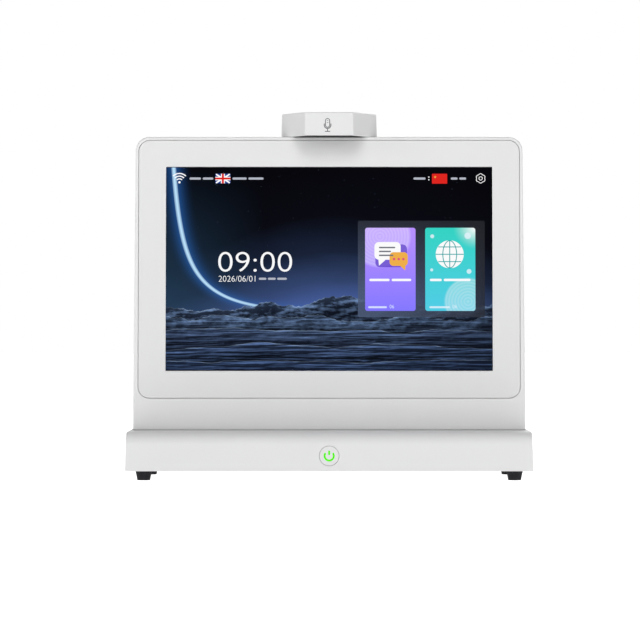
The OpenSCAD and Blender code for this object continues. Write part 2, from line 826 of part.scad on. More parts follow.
module mic_housing() color(white) difference() {
  mic_body();
  translate([0, 0, tower_top_z - past]) hexagon(mic_cavity_r, mic_h - mic_wall + past);
  on_mic_ring() {
    translate([0, 0, mic_top_z - mic_wall - past]) cylinder(d = mic_hole_d, h = mic_wall + 2 * past);
    translate([0, 0, mic_top_z - mic_sink])
      cylinder(d1 = mic_hole_d, d2 = mic_hole_d + 2 * mic_sink, h = mic_sink + bite);
  }
}

// Floor of the head, with the posts that carry the board and take the fixing screws
module mic_floor() color(black) difference() {
  translate([0, 0, tower_top_z]) union() {
    hexagon(mic_cavity_r - clearance, mic_floor_t);
    for (x = [-1, 1]) translate([x * mic_screw_x, 0, 0])
      cylinder(r = mic_post_r, h = mic_floor_t + mic_screw_bite + past);
    on_mic_posts() cylinder(r = small_boss_r, h = mic_board_z - tower_top_z);
  }
  for (x = [-1, 1]) translate([x * mic_screw_x, 0, tower_top_z - past])
    cylinder(r = screw_r, h = mic_floor_t + mic_screw_bite + past);
  on_mic_posts() translate([0, 0, mic_board_z - mic_board_bite - past])
    cylinder(r = small_screw_r, h = mic_board_bite + 2 * past);
  translate([0, 0, tower_top_z - past]) linear_extrude(mic_floor_t + 2 * past)
    centred2d(mic_cable_w, mic_cable_d, mic_cable_r);
}

module mic_board() color(board_green) difference() {
  translate([0, 0, mic_board_z]) hexagon(mic_cavity_r - 2 * clearance, board_t);
  on_mic_posts() translate([0, 0, mic_board_z - past])
    cylinder(r = small_screw_r + clearance / 2, h = board_t + 2 * past);
}

module microphones() color("#c9b46a") on_mic_ring()
  translate([-capsule_l / 2, -capsule_w / 2, mic_board_z + board_t])
  cube([capsule_l, capsule_w, capsule_h]);

// Soft rings that seal each microphone to its sound hole
module mic_gaskets() color(black) on_mic_ring()
  translate([0, 0, mic_board_z + board_t + capsule_h]) difference() {
    cylinder(r = mic_gasket_r, h = mic_gasket_h);
    translate([0, 0, -past]) cylinder(d = mic_hole_d, h = mic_gasket_h + 2 * past);
  }

module mic_screws() color(steel) on_mic_posts() translate([0, 0, mic_board_z + board_t])
  rotate([180, 0, 0]) screw(small_screw_r, board_t + mic_board_bite, small_head_h);

// ---------- Base ----------

// Base body: long edges truly rounded, sides leaning in, shrunk by "inset" for the inside
module base_body(inset, low, high) {
  r = base_edge_r - inset;
  y = base_d / 2 - inset;
  bottom_half = base_w / 2 - inset;
  top_half = base_top_w / 2 - inset;
  cut = max(bite, base_edge_break - inset / 4);
  intersection() {
    rotate([90, 0, 90]) linear_extrude(2 * base_w, center = true) {
      translate([-y, low]) square([2 * y, high - low - r]);
      translate([-y + r, low]) square([2 * (y - r), high - low]);
      for (a = [-1, 1]) translate([a * (y - r), high - r]) circle(r = r);
    }
    rotate([90, 0, 0]) linear_extrude(2 * base_d, center = true) polygon([
      [-bottom_half, low], [bottom_half, low], [top_half, high - cut], [top_half - cut, high],
      [cut - top_half, high], [-top_half, high - cut]]);
  }
}

module at_plate_screws() at_corners(plate_screw_x, plate_screw_y) children();
module at_feet() at_corners(foot_x, foot_y) children();

// Bosses and stiffening ribs moulded under the top of the base
module base_fittings() {
  at_plate_screws() translate([0, 0, plate_top_z]) cylinder(r = boss_r, h = base_h);
  at_feet() translate([0, 0, plate_top_z]) cylinder(r = boss_r, h = base_h);
  at_corners(tower_screw_x, tower_screw_y) translate([0, 0, base_room_z - screw_pad_t])
    cylinder(r = boss_r + 1, h = base_wall);
  for (x = [-1, 1])
    translate([x * (speaker_x - speaker_l / 2 - rib_gap) - rib_t / 2, -base_d, base_room_z - rib_h])
      cube([rib_t, 2 * base_d, base_h]);
  for (y = [-1, 1])
    translate([-base_w, y * (tower_foot_t / 2 + rib_gap) - rib_t / 2, base_room_z - rib_h / 2])
      cube([2 * base_w, rib_t, base_h]);
}

module base_shell() color(white) difference() {
  pilot_h = plate_t + base_screw_bite + past;
  base_body(0, foot_h, tower_z);
  difference() {
    base_body(base_wall, foot_h - past, base_room_z);
    base_fittings();
  }
  at_plate_screws() translate([0, 0, foot_h]) cylinder(r = screw_r, h = pilot_h);
  at_feet() translate([0, 0, foot_h]) cylinder(r = screw_r, h = pilot_h);
  at_corners(tower_screw_x, tower_screw_y) translate([0, 0, base_room_z - screw_pad_t - past])
    cylinder(r = screw_r + clearance, h = screw_pad_t + base_wall + 2 * past);
  cable_way(base_room_z - past, base_wall + 2 * past);
  translate([0, button_y - past, button_z])
    bar_y(button_d / 2 + button_gap, base_wall + 2 * past);
  translate([0, base_d / 2 + past, inlet_z]) rotate([90, 0, 0])
    linear_extrude(base_wall + 2 * past) slot2d(inlet_w + 2 * clearance, inlet_h + 2 * clearance);
}

// Through hole in the bottom plate, with a seat of depth "seat" for a screw head below
module screw_way(seat) translate([0, 0, plate_z - past]) {
  cylinder(r = screw_r + clearance, h = plate_t + 2 * past);
  if (seat > 0) cylinder(r = 2 * screw_r + clearance, h = seat + past);
}

// Bottom plate with its sound slots, board posts and screw holes
module bottom_plate() color(white) difference() {
  union() {
    translate([0, 0, plate_z]) linear_extrude(plate_t)
      centred2d(base_w - 2 * (base_wall + clearance), base_d - 2 * (base_wall + clearance), plate_r);
    at_power_posts() translate([0, 0, plate_z])
      cylinder(r = small_boss_r, h = plate_t + power_board_lift);
    for (x = [-1, 1])
      translate([x * switch_post_x - switch_post_w / 2, switch_board_y + board_t, plate_z])
        cube([switch_post_w, switch_post_t, plate_t + switch_post_h]);
  }
  for (x = [-1, 1], i = [0:slot_count - 1])
    translate([x * speaker_x + (i - (slot_count - 1) / 2) * slot_pitch, 0, plate_z - past])
      linear_extrude(plate_t + 2 * past) rotate([0, 0, 90])
      slot2d(speaker_w - 2 * surround_w, slot_w);
  at_plate_screws() screw_way(plate_seat);
  at_feet() screw_way(0);
  at_speaker_screws() translate([0, 0, plate_z + hole_floor]) cylinder(r = small_screw_r, h = plate_t);
  at_strap_screws() translate([0, 0, plate_z + hole_floor]) cylinder(r = small_screw_r, h = plate_t);
  at_power_posts() translate([0, 0, plate_top_z])
    cylinder(r = small_screw_r, h = power_board_lift + past);
}

module plate_screws() color(steel) at_plate_screws() translate([0, 0, plate_z + plate_seat])
  screw(screw_r, plate_t - plate_seat + base_screw_bite, plate_seat);

// ---------- Sound ----------

module at_speaker_screws() for (x = [-1, 1]) translate([x * speaker_x, 0, 0])
  at_corners(speaker_screw_x, speaker_screw_y) children();

// Speaker facing down: rim with ears, surround, cone, basket and magnet
module speaker(x) translate([x, 0, speaker_z]) {
  cone_w = speaker_w - 2 * surround_w;
  basket_h = speaker_h - speaker_rim_t - magnet_h;
  dome_r = 7;
  color(black) difference() {
    union() {
      linear_extrude(speaker_rim_t) {
        centred2d(speaker_l, speaker_w, speaker_corner_r);
        for (a = [-1, 1]) translate([a * speaker_screw_x, 0])
          square([2 * ear_r, 2 * speaker_screw_y], center = true);
        for (a = [-1, 1], b = [-1, 1]) translate([a * speaker_screw_x, b * speaker_screw_y])
          circle(r = ear_r);
      }
      translate([0, 0, speaker_rim_t]) linear_extrude(basket_h)
        centred2d(speaker_l - 2 * basket_inset, speaker_w - 2 * basket_inset, speaker_corner_r);
    }
    at_corners(speaker_screw_x, speaker_screw_y) translate([0, 0, -past])
      cylinder(r = small_screw_r + clearance, h = speaker_rim_t + 2 * past);
    translate([0, 0, -past]) linear_extrude(speaker_rim_t / 2 + past)
      slot2d(speaker_l - 2 * surround_w, cone_w);
    linear_extrude(speaker_rim_t + 1.6)
      slot2d(speaker_l - 4 * surround_w, cone_w - 2 * surround_w);
  }
  color("#3a3a3e") translate([0, 0, speaker_rim_t - 0.8]) cylinder(r1 = dome_r, r2 = 5, h = 2.6);
  color(steel) translate([0, 0, speaker_h - magnet_h]) cylinder(r = cone_w / 2, h = magnet_h);
}

module left_speaker() speaker(-speaker_x);
module right_speaker() speaker(speaker_x);

// Soft ring under a speaker
module speaker_gasket(x) color("#3b3b3b") translate([x, 0, plate_top_z]) difference() {
  linear_extrude(speaker_gasket_t) centred2d(speaker_l, speaker_w, speaker_corner_r);
  translate([0, 0, -past]) linear_extrude(speaker_gasket_t + 2 * past)
    centred2d(speaker_l - 2 * speaker_gasket_w, speaker_w - 2 * speaker_gasket_w,
      speaker_corner_r / 2);
}

module left_speaker_gasket() speaker_gasket(-speaker_x);
module right_speaker_gasket() speaker_gasket(speaker_x);

module speaker_screws() color(steel) at_speaker_screws() translate([0, 0, speaker_z + speaker_rim_t])
  rotate([180, 0, 0])
  screw(small_screw_r, speaker_rim_t + speaker_gasket_t + plate_t - 2 * hole_floor, small_head_h);

// ---------- Power ----------

// Two cells side by side in one sleeve
module battery_pack() color("#2e4a7a") translate([0, battery_y, battery_z]) {
  for (x = [-1, 1]) translate([x * battery_l / 4, 0, battery_t / 2]) rotate([90, 0, 0])
    linear_extrude(battery_w, center = true) centred2d(battery_l / 2, battery_t, cell_r);
  translate([0, 0, battery_t / 4]) linear_extrude(battery_t / 2)
    square([battery_l / 3, battery_w], center = true);
}

module at_strap_screws() for (x = [-1, 1]) translate([x * strap_screw_x, battery_y, 0]) children();

// Sheet strap that holds the battery down
module battery_strap() color(steel) difference() {
  inner = battery_l / 2 + clearance;
  top = battery_t + 2 * clearance;
  translate([0, battery_y + strap_w / 2, plate_top_z]) rotate([90, 0, 0])
    linear_extrude(strap_w) difference() {
      union() {
        translate([-inner - strap_t, 0]) square([2 * (inner + strap_t), top + strap_t]);
        translate([-inner - strap_t - strap_foot, 0])
          square([2 * (inner + strap_t + strap_foot), strap_t]);
      }
      translate([-inner, -past]) square([2 * inner, top + past]);
    }
  at_strap_screws() translate([0, 0, plate_top_z - past])
    cylinder(r = small_screw_r + clearance, h = strap_t + 2 * past);
}

module strap_screws() color(steel) at_strap_screws() translate([0, 0, plate_top_z + strap_t])
  rotate([180, 0, 0]) screw(small_screw_r, strap_t + plate_t - 2 * hole_floor, small_head_h);

module at_power_posts() for (x = [-1, 1])
  translate([x * (power_board_w / 2 - post_inset), power_board_y + power_board_d / 2, 0]) children();

// Board behind the power inlet, with the ribbon's plug and two capacitors
module power_board() color(board_green) difference() {
  plug_low = 0.2;
  capacitor = [4, 4, 2];
  union() {
    translate([0, power_board_y + power_board_d / 2, power_board_z]) linear_extrude(board_t)
      centred2d(power_board_w, power_board_d, board_r / 2);
    translate([-power_ribbon_x - power_plug_w / 2, power_board_y + 1, power_board_z + board_t])
      cube([power_plug_w, plug_h, plug_low]);
    for (x = [9, 15]) translate([x, power_board_y + 3, power_board_z + board_t]) cube(capacitor);
  }
  at_power_posts() translate([0, 0, power_board_z - past])
    cylinder(r = small_screw_r + clearance / 2, h = board_t + 2 * past);
}

// Power inlet: a round-ended metal shell with a tongue inside
module power_inlet() color(steel) translate([0, base_d / 2 - inlet_sink, inlet_z]) {
  floor_t = 1;
  difference() {
    rotate([90, 0, 0]) linear_extrude(inlet_l) slot2d(inlet_w, inlet_h);
    translate([0, past, 0]) rotate([90, 0, 0]) linear_extrude(inlet_l - floor_t + past)
      slot2d(inlet_w - 2 * inlet_shell_t, inlet_h - 2 * inlet_shell_t);
  }
  translate([-inlet_tongue_w / 2, -inlet_l + floor_t / 2, -inlet_tongue_t / 2])
    cube([inlet_tongue_w, inlet_l - floor_t - inlet_shell_t, inlet_tongue_t]);
}

// ---------- Power button ----------

// Power symbol: an open ring with an upright bar
module symbol2d(grow) {
  difference() {
    circle(r = symbol_r + grow);
    circle(r = symbol_r - symbol_stroke - grow);
    polygon([[0, 0], for (a = [-1, 1]) 2 * symbol_r * [a * sin(symbol_open), cos(symbol_open)]]);
  }
  translate([-symbol_stroke / 2 - grow, symbol_bar_low - grow])
    square([symbol_stroke + 2 * grow, symbol_bar_high - symbol_bar_low + 2 * grow]);
}

// Places children on the button's face: X across, Y up, Z into the base
module on_button() translate([0, button_y + button_sink, button_z]) rotate([-90, 0, 0])
  mirror([0, 1, 0]) children();

module power_button() color(white) difference() {
  union() {
    on_button() cylinder(r = button_d / 2, h = base_wall + button_wall_gap);
    translate([0, button_inner_y, button_z]) {
      bar_y(button_d / 2 + button_flange, button_flange_t);
      bar_y(stem_r, stem_end_y - button_inner_y);
    }
  }
  on_button() {
    translate([0, 0, -past]) linear_extrude(past + lens_depth) symbol2d(lens_gap);
    translate([0, 0, lens_depth - bite]) cylinder(r = lens_back_r + lens_gap, h = lens_back_t);
  }
}

module symbol_lens() color("#55f51a") on_button() {
  linear_extrude(lens_depth) symbol2d(0);
  translate([0, 0, lens_depth - bite]) cylinder(r = lens_back_r, h = lens_back_t - lens_gap);
}

module switch_plunger() color(black) translate([0, stem_end_y, button_z]) bar_y(plunger_r, plunger_l);

module push_switch() color("#6d7075") difference() {
  translate([-switch_side / 2, switch_y, button_z - switch_side / 2])
    cube([switch_side, switch_t, switch_side]);
  translate([0, switch_y - past, button_z]) bar_y(plunger_r + plunger_gap, past + switch_room);
}

module switch_board() color(board_green)
  upright_plate(switch_board_w, switch_board_h, board_r / 2, switch_board_y, board_t, plate_top_z);

// ---------- Feet ----------

// Round rubber foot: thin collar, tapered body, soft lower edge and a sunk screw seat
module foot(x, y) color(black) translate([x * foot_x, y * foot_y, 0]) rotate_extrude() difference() {
  polygon(concat([[0, 0]],
    arc(foot_tip_d / 2 - foot_round_r, foot_round_r, foot_round_r, -90, 0, 6),
    [[foot_top_d / 2 - foot_groove, foot_h - foot_collar], [foot_top_d / 2, foot_h - foot_collar],
    [foot_top_d / 2, foot_h], [0, foot_h]]));
  square([screw_r + clearance, foot_h]);
  square([foot_bore_r, foot_h - foot_seat]);
}

module front_left_foot() foot(-1, -1);
module front_right_foot() foot(1, -1);
module rear_left_foot() foot(-1, 1);
module rear_right_foot() foot(1, 1);

module foot_screws() color(steel) at_feet() translate([0, 0, foot_h - foot_seat])
  screw(screw_r, foot_seat + plate_t + base_screw_bite, head_h);

// ---------- Nodes ----------

tower_housing();
front_bezel();
rear_bezel();
front_touch_glass();
rear_touch_glass();
front_foam_tape();
rear_foam_tape();
front_display();
rear_display();
front_brackets();
rear_brackets();
bracket_screws();
middle_frame();
frame_screws();
main_board();
heat_spreader();
driver_board();
board_screws();
front_ribbon();
rear_ribbon();
power_ribbon();
antennas();
tower_screws();
mic_housing();
mic_floor();
mic_board();
microphones();
mic_gaskets();
mic_screws();
base_shell();
bottom_plate();
plate_screws();
left_speaker();
right_speaker();
left_speaker_gasket();
right_speaker_gasket();
speaker_screws();
battery_pack();
battery_strap();
strap_screws();
power_board();
power_inlet();
power_button();
symbol_lens();
switch_plunger();
push_switch();
switch_board();
front_left_foot();
front_right_foot();
rear_left_foot();
rear_right_foot();
foot_screws();
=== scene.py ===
"""Two-sided desktop translator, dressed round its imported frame. Lengths are in metres."""

import math

import bmesh
import bpy
from bpy.props import FloatProperty, FloatVectorProperty, IntProperty, PointerProperty
from mathutils import Matrix, Vector


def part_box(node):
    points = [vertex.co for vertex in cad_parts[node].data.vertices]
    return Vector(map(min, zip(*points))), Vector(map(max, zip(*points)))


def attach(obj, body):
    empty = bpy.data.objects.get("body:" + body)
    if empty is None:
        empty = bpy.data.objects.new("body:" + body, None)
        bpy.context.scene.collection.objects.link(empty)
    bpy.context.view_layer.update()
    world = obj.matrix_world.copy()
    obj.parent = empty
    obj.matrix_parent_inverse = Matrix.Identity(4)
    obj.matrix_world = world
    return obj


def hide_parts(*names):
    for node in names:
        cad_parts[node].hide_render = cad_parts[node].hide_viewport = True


bl_info = {
    "name": "Two-sided desktop translator",
    "version": (1, 0, 0),
    "blender": (4, 5, 0),
    "location": "View3D > Sidebar > Translator",
    "description": "Mouldings, screens, finishes and studio for a two-sided desktop translator",
    "category": "Object",
}

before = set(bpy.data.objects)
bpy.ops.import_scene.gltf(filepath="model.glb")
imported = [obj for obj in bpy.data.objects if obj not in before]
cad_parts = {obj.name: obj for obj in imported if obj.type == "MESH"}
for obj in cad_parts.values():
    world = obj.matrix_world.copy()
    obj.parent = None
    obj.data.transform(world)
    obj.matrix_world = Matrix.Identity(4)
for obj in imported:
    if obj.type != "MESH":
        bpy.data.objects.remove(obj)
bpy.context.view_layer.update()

MM = 0.001
# Points this near are one point, and lie on a level this near.
WELD, TOUCH = 0.002 * MM, 0.01 * MM
SCREENS = {"front": "front_touch_glass", "rear": "rear_touch_glass"}
BLACK, WHITE = (0.0, 0.0, 0.0), (1.0, 1.0, 1.0)


def tint(code):
    """Linear colour of a six-digit display colour."""
    parts = [int(code[i:i + 2], 16) / 255 for i in (0, 2, 4)]
    return tuple(p / 12.92 if p <= 0.04045 else ((p + 0.055) / 1.055) ** 2.4 for p in parts)


# ---------- What a user may change ----------


def length(name, description, default):
    return FloatProperty(name=name, description=description, default=default, min=0, precision=5,
                         unit="LENGTH")


def colour(name, description, code):
    return FloatVectorProperty(name=name, description=description, default=tint(code), size=3,
                               min=0, max=1, subtype="COLOR")


def number(name, description, default):
    return FloatProperty(name=name, description=description, default=default, min=0)


class TranslatorSizes(bpy.types.PropertyGroup):
    picture_width: length("Picture width", "Width of the lit picture", 217 * MM)
    picture_height: length("Picture height", "Height of the lit picture", 135.6 * MM)
    ink: length("Ink thickness", "Thickness of each layer of the picture", 0.03 * MM)
    line: length("Icon line", "Width of the lines of the screen's icons", 0.75 * MM)
    print_line: length("Printed line", "Width of the printed line on the head", 0.55 * MM)
    shell_edge: length("Shell edge", "Rounding of the housing's and base's edges", 0.3 * MM)
    foot_edge: length("Foot edge", "Rounding where the tower meets the base", 0.5 * MM)
    panel_edge: length("Panel edge", "Rounding of the screen panels' edges", 0.12 * MM)
    window_rise: length("Window rise", "How far the window's top edge is drawn up", 0.4 * MM)
    button_edge: length("Button edge", "Rounding of the button's rim", 0.25 * MM)
    foot_steps: IntProperty(name="Foot steps", description="Sides of a turned foot",
                            default=72, min=12)


class TranslatorColours(bpy.types.PropertyGroup):
    shell: colour("Shell", "White of the mouldings", "e8e8e8")
    # Painted highlight: the window edge's white is set lighter than the shell's.
    window: colour("Window edge", "Polished bevel round a window", "fbfbfc")
    print: colour("Print", "Grey of the printed icon", "5e5e62")
    symbol: colour("Symbol", "Green of the lit power symbol", "5af916")
    rubber: colour("Rubber", "Black of the feet", "2d2d30")
    night: colour("Night", "Top of the picture", "020207")
    dusk: colour("Dusk", "Glow low in the picture", "4a63a6")
    ribbon: colour("Ribbon", "Bright ribbon in the picture", "bfe6ff")
    lilac: colour("Lilac", "Top of the left card", "b890ff")
    violet: colour("Violet", "Foot of the left card", "8478ff")
    mint: colour("Mint", "Top of the right card", "33d3c2")
    sky: colour("Sky", "Foot of the right card", "50cde6")


class TranslatorStudio(bpy.types.PropertyGroup):
    distance: length("Camera distance", "From the camera to the base's middle", 2.416)
    height: length("Camera height", "Height of the camera above the table", 0.105)
    lens: number("Lens", "Focal length in millimetres", 203.4)
    left: number("Left lamp", "Power of the left softbox in watts", 4.9)
    right: number("Right lamp", "Power of the right softbox in watts", 3.3)
    front: number("Front lamp", "Power of the softbox in front in watts", 3.1)
    top: number("Top lamp", "Power of the softbox high in front in watts", 7.6)
    rear: number("Rear lamp", "Power of the softbox above and behind in watts", 17.0)
    room: number("Room light", "Strength of the room's light", 0.04)
    table: number("Table light", "Light that the white table sends back", 0.93)


# ---------- Materials ----------


# Painted shade round a foot's box, darkest where the foot stands: its fall upwards and outwards,
# per metre, and the share of the colour it leaves.
PAINTED_SHADE_UP, PAINTED_SHADE_OUT, PAINTED_SHADE_LEFT = 900.0, 120.0, 0.6
# Half a bare board's thickness, and a little more.
BOARD_HALF = 0.82 * MM
# The picture's width to its height, and the cards' lower and upper ends on it.
ASPECT, CARD_LOW, CARD_HIGH = 1.6, 0.295, 0.703


class Wire:
    """One socket of a node tree, so that sums on it are written as Python."""

    def __init__(self, tree, socket):
        self.tree, self.socket = tree, socket

    def sum(self, operation, *terms):
        return self.tree.node("ShaderNodeMath", {"operation": operation}, dict(enumerate(terms)))

    def __add__(self, other):
        return self.sum("ADD", self, other)

    def __sub__(self, other):
        return self.sum("SUBTRACT", self, other)

    def __rsub__(self, other):
        return self.sum("SUBTRACT", other, self)

    def __mul__(self, other):
        return self.sum("MULTIPLY", self, other)

    def __truediv__(self, other):
        return self.sum("DIVIDE", self, other)

    def __pow__(self, other):
        return self.sum("POWER", self, other)

    def __gt__(self, other):
        return self.sum("GREATER_THAN", self, other)

    def __lt__(self, other):
        return self.sum("LESS_THAN", self, other)

    __radd__ = __add__
    __rmul__ = __mul__

    def __abs__(self):
        return self.sum("ABSOLUTE", self)

    def most(self, other):
        return self.sum("MAXIMUM", self, other)

    def clip(self):
        """Kept between 0 and 1."""
        return self.sum("MINIMUM", self.most(0.0), 1.0)

    def wave(self):
        return self.sum("SINE", self)

    def rest(self):
        """What is left over a whole number."""
        return self.sum("FRACT", self)

    def axes(self):
        """The three parts of a vector."""
        apart = self.tree.node("ShaderNodeSeparateXYZ", {}, {0: self}).socket.node
        return [Wire(self.tree, out) for out in apart.outputs]


class Tree:
    """A node tree in the making."""

    def __init__(self, owner):
        owner.use_nodes = True
        self.nodes, self.links = owner.node_tree.nodes, owner.node_tree.links

    def node(self, kind, settings, inputs, out=0):
        """A node of this type; its settings are set first, then its sockets' values or links."""
        made = self.nodes.new(kind)
        for key, value in settings.items():
            if key == "stops":
                while len(made.color_ramp.elements) < len(value):
                    made.color_ramp.elements.new(0.5)
                for stop, (place, shade) in zip(made.color_ramp.elements, value):
                    stop.position, stop.color = place, (*shade, 1)
            else:
                setattr(made, key, value)
        for key, value in inputs.items():
            self.feed(made.inputs[key], value)
        return Wire(self, made.outputs[out])

    def feed(self, socket, value):
        if isinstance(value, Wire):
            self.links.new(value.socket, socket)
        elif socket.type == "RGBA" and len(value) == 3:
            socket.default_value = (*value, 1)
        else:
            socket.default_value = value

    def place(self):
        return self.node("ShaderNodeTexCoord", {}, {}, "Object")

    def picture(self):
        """Places on the picture: across and up, each from 0 to 1."""
        return self.node("ShaderNodeUVMap", {"uv_map": "picture"}, {})

    def mapped(self, at, scale, move=(0, 0, 0)):
        return self.node("ShaderNodeMapping", {}, {"Vector": at, "Scale": scale, "Location": move})

    def noise(self, at, scale, detail=2.0, rough=0.5):
        return self.node("ShaderNodeTexNoise", {}, {"Vector": at, "Scale": scale, "Detail": detail,
                                                    "Roughness": rough})

    def cells(self, at, scale):
        return self.node("ShaderNodeTexVoronoi", {}, {"Vector": at, "Scale": scale})

    def mix(self, share, first, second):
        return self.node("ShaderNodeMix", {"data_type": "RGBA"},
                         {0: share, 6: first, 7: second}, 2)

    def bump(self, height, depth, strength=1.0):
        return self.node("ShaderNodeBump", {}, {"Height": height, "Distance": depth,
                                                "Strength": strength})


class Finish(Tree):
    """A material with one shader; fixed values go straight on the shader's sockets."""

    def __init__(self, name, rough=0.5, metal=0.0, shine=0.5):
        self.material = bpy.data.materials.new(name)
        super().__init__(self.material)
        self.shader = self.nodes["Principled BSDF"]
        self.wear({"Roughness": rough, "Metallic": metal, "Specular IOR Level": shine})

    def wear(self, sockets):
        for key, value in sockets.items():
            self.feed(self.shader.inputs[key], value)
        return self.material

    def coat(self, colour, rough, **more):
        """Colour and roughness, and what else is named after its socket."""
        return self.wear({"Base Color": colour, "Roughness": rough, **more})


class Light(Finish):
    """A finish of the screen, seen by its own light alone."""

    def __init__(self, name, rough=0.12):
        super().__init__(name, rough=rough, shine=0.02)

    def show(self, shade, alpha=1.0):
        return self.wear({"Base Color": BLACK, "Emission Strength": 1.0, "Alpha": alpha,
                          "Emission Color": shade})


def scaled(shade, share):
    return tuple(min(1.0, part * share) for part in shade)


def moulded(name, shade, grain=0.4 * MM, depth=0.012 * MM, rough=0.42, foot=None):
    """Spark-textured moulded plastic, faintly clouded, with painted shade round the foot of the
    given box.
    """
    finish = Finish(name, shine=0.1)
    at = finish.place()
    spark = finish.noise(at, 1 / grain, 3.0, 0.6)
    cloud = finish.noise(at, 14.0)
    body = finish.mix(cloud, scaled(shade, 0.975), scaled(shade, 1.02))
    # Painted shade: darker round the box's foot, fading upwards and outwards.
    if foot:
        low, high = foot
        x, y, z = at.axes()
        painted_joint_shade = (1 - abs(z - low.z) * PAINTED_SHADE_UP).clip()
        for off in (abs(x) - high.x, abs(y) - high.y):
            painted_joint_shade = painted_joint_shade * (1 - off.clip() * PAINTED_SHADE_OUT).clip()
        body = finish.mix(painted_joint_shade, body, scaled(shade, PAINTED_SHADE_LEFT))
    return finish.coat(body, rough + 0.12 * spark, Normal=finish.bump(spark, depth, 0.6))


def polished(name, shade):
    """Polished bevel that catches the light."""
    finish = Finish(name, shine=0.6)
    streak = finish.noise(finish.place(), 900.0)
    return finish.coat(finish.mix(streak, scaled(shade, 0.97), shade), 0.24 + 0.08 * streak)


def printed(name, shade):
    """Matt print, faintly uneven."""
    finish = Finish(name)
    speck = finish.noise(finish.place(), 5000.0, 3.0)
    return finish.coat(finish.mix(speck, scaled(shade, 0.85), scaled(shade, 1.1)),
                       0.5 + 0.15 * speck)


def rubber(name, shade):
    """Matt rubber with a fine bloom."""
    finish = Finish(name, shine=0.05)
    at = finish.place()
    pore = finish.noise(at, 2600.0, 3.0, 0.65)
    bloom = finish.noise(at, 160.0, 3.0)
    return finish.coat(finish.mix(bloom, scaled(shade, 0.7), scaled(shade, 1.7)),
                       0.5 + 0.2 * pore, Normal=finish.bump(pore, 0.04 * MM, 0.5))


def lit_symbol(name, shade):
    """Translucent lens, unevenly lit from behind."""
    finish = Finish(name, shine=0.02)
    glow = finish.noise(finish.place(), 420.0)
    return finish.wear({"Base Color": scaled(shade, 0.25), "Emission Strength": 0.82,
                        "Emission Color": finish.mix(glow, scaled(shade, 0.9), shade)})


def steel(name, shade, rough=0.3, stretch=(40.0, 900.0, 900.0)):
    """Plated or drawn metal with a fine grain in one direction."""
    finish = Finish(name, metal=1.0)
    at = finish.place()
    grain = finish.noise(finish.mapped(at, stretch), 1.0, 3.0, 0.6)
    bloom = finish.noise(at, 120.0, 3.0)
    return finish.coat(finish.mix(bloom, scaled(shade, 0.86), scaled(shade, 1.06)),
                       rough + 0.16 * grain, Normal=finish.bump(grain, 0.01 * MM, 0.4))


def circuit(name, axis, middle):
    """Solder mask over traces and pads, on a board whose middle is here on this axis; what
    stands off the bare board is dark parts."""
    finish = Finish(name)
    parts = finish.place().axes()
    off = abs(parts.pop(axis) - middle) > BOARD_HALF
    flat = finish.node("ShaderNodeCombineXYZ", {}, dict(enumerate(parts)))
    steps = finish.node("ShaderNodeTexVoronoi", {"distance": "MANHATTAN"},
                        {"Vector": flat, "Scale": 34.0, "Randomness": 0.8})
    trace = ((steps * 34.0).wave() > 0.45) * (finish.noise(flat, 26.0, 0.0) > 0.44)
    dots = finish.cells(flat, 330.0) < 0.14
    mask = finish.mix(trace, tint("1b5136"), tint("2f7350"))
    bare = finish.mix(dots, mask, tint("c9c4ae"))
    return finish.coat(finish.mix(off, bare, tint("232428")), 0.32 + 0.2 * off,
                       Metallic=dots * (1 - off) * 0.8,
                       Normal=finish.bump(trace, 0.02 * MM, 0.5))


def film(name, shade, wire, pitch=1.0 * MM):
    """Flexible film with metal lines side by side across it."""
    finish = Finish(name)
    line = (finish.place().axes()[0] / pitch).rest() > 0.55
    haze = finish.noise(finish.place(), 300.0)
    base = finish.mix(haze, scaled(shade, 0.85), shade)
    return finish.coat(finish.mix(line, base, wire), 0.26 + 0.12 * haze, Metallic=0.5 * line,
                       Normal=finish.bump(line, 0.015 * MM, 0.5))


def foam(name, shade):
    """Open-pored foam."""
    finish = Finish(name, shine=0.2)
    pore = finish.cells(finish.place(), 1900.0)
    return finish.coat(finish.mix(pore, scaled(shade, 0.5), scaled(shade, 1.5)),
                       0.82 + 0.15 * pore, Normal=finish.bump(pore, 0.12 * MM, 0.8))


def sleeve(name, shade):
    """Heat-shrunk sleeve with a light seam and small wrinkles."""
    finish = Finish(name)
    at = finish.place()
    wrinkle = finish.noise(finish.mapped(at, (60.0, 500.0, 60.0)), 1.0, 3.0)
    seam = (at.axes()[0] / (44 * MM)).rest() < 0.012
    base = finish.mix(wrinkle, scaled(shade, 0.8), shade)
    return finish.coat(finish.mix(seam, base, scaled(shade, 1.6)), 0.3 + 0.2 * wrinkle,
                       Normal=finish.bump(wrinkle, 0.1 * MM, 0.5))


def driver(name, magnet_z):
    """Speaker: black moulded basket and paper cone below, plated magnet above."""
    finish = Finish(name)
    at = finish.place()
    metal = at.axes()[2] > magnet_z
    fibre = finish.noise(at, 900.0, 4.0, 0.7)
    cone = finish.mix(fibre, tint("101012"), tint("2b2b2f"))
    plated = finish.mix(fibre, tint("8f9297"), tint("b9bcc1"))
    return finish.coat(finish.mix(metal, cone, plated), 0.6 - 0.3 * metal + 0.12 * fibre,
                       Metallic=metal * 0.95, Normal=finish.bump(fibre, 0.03 * MM, 0.5))


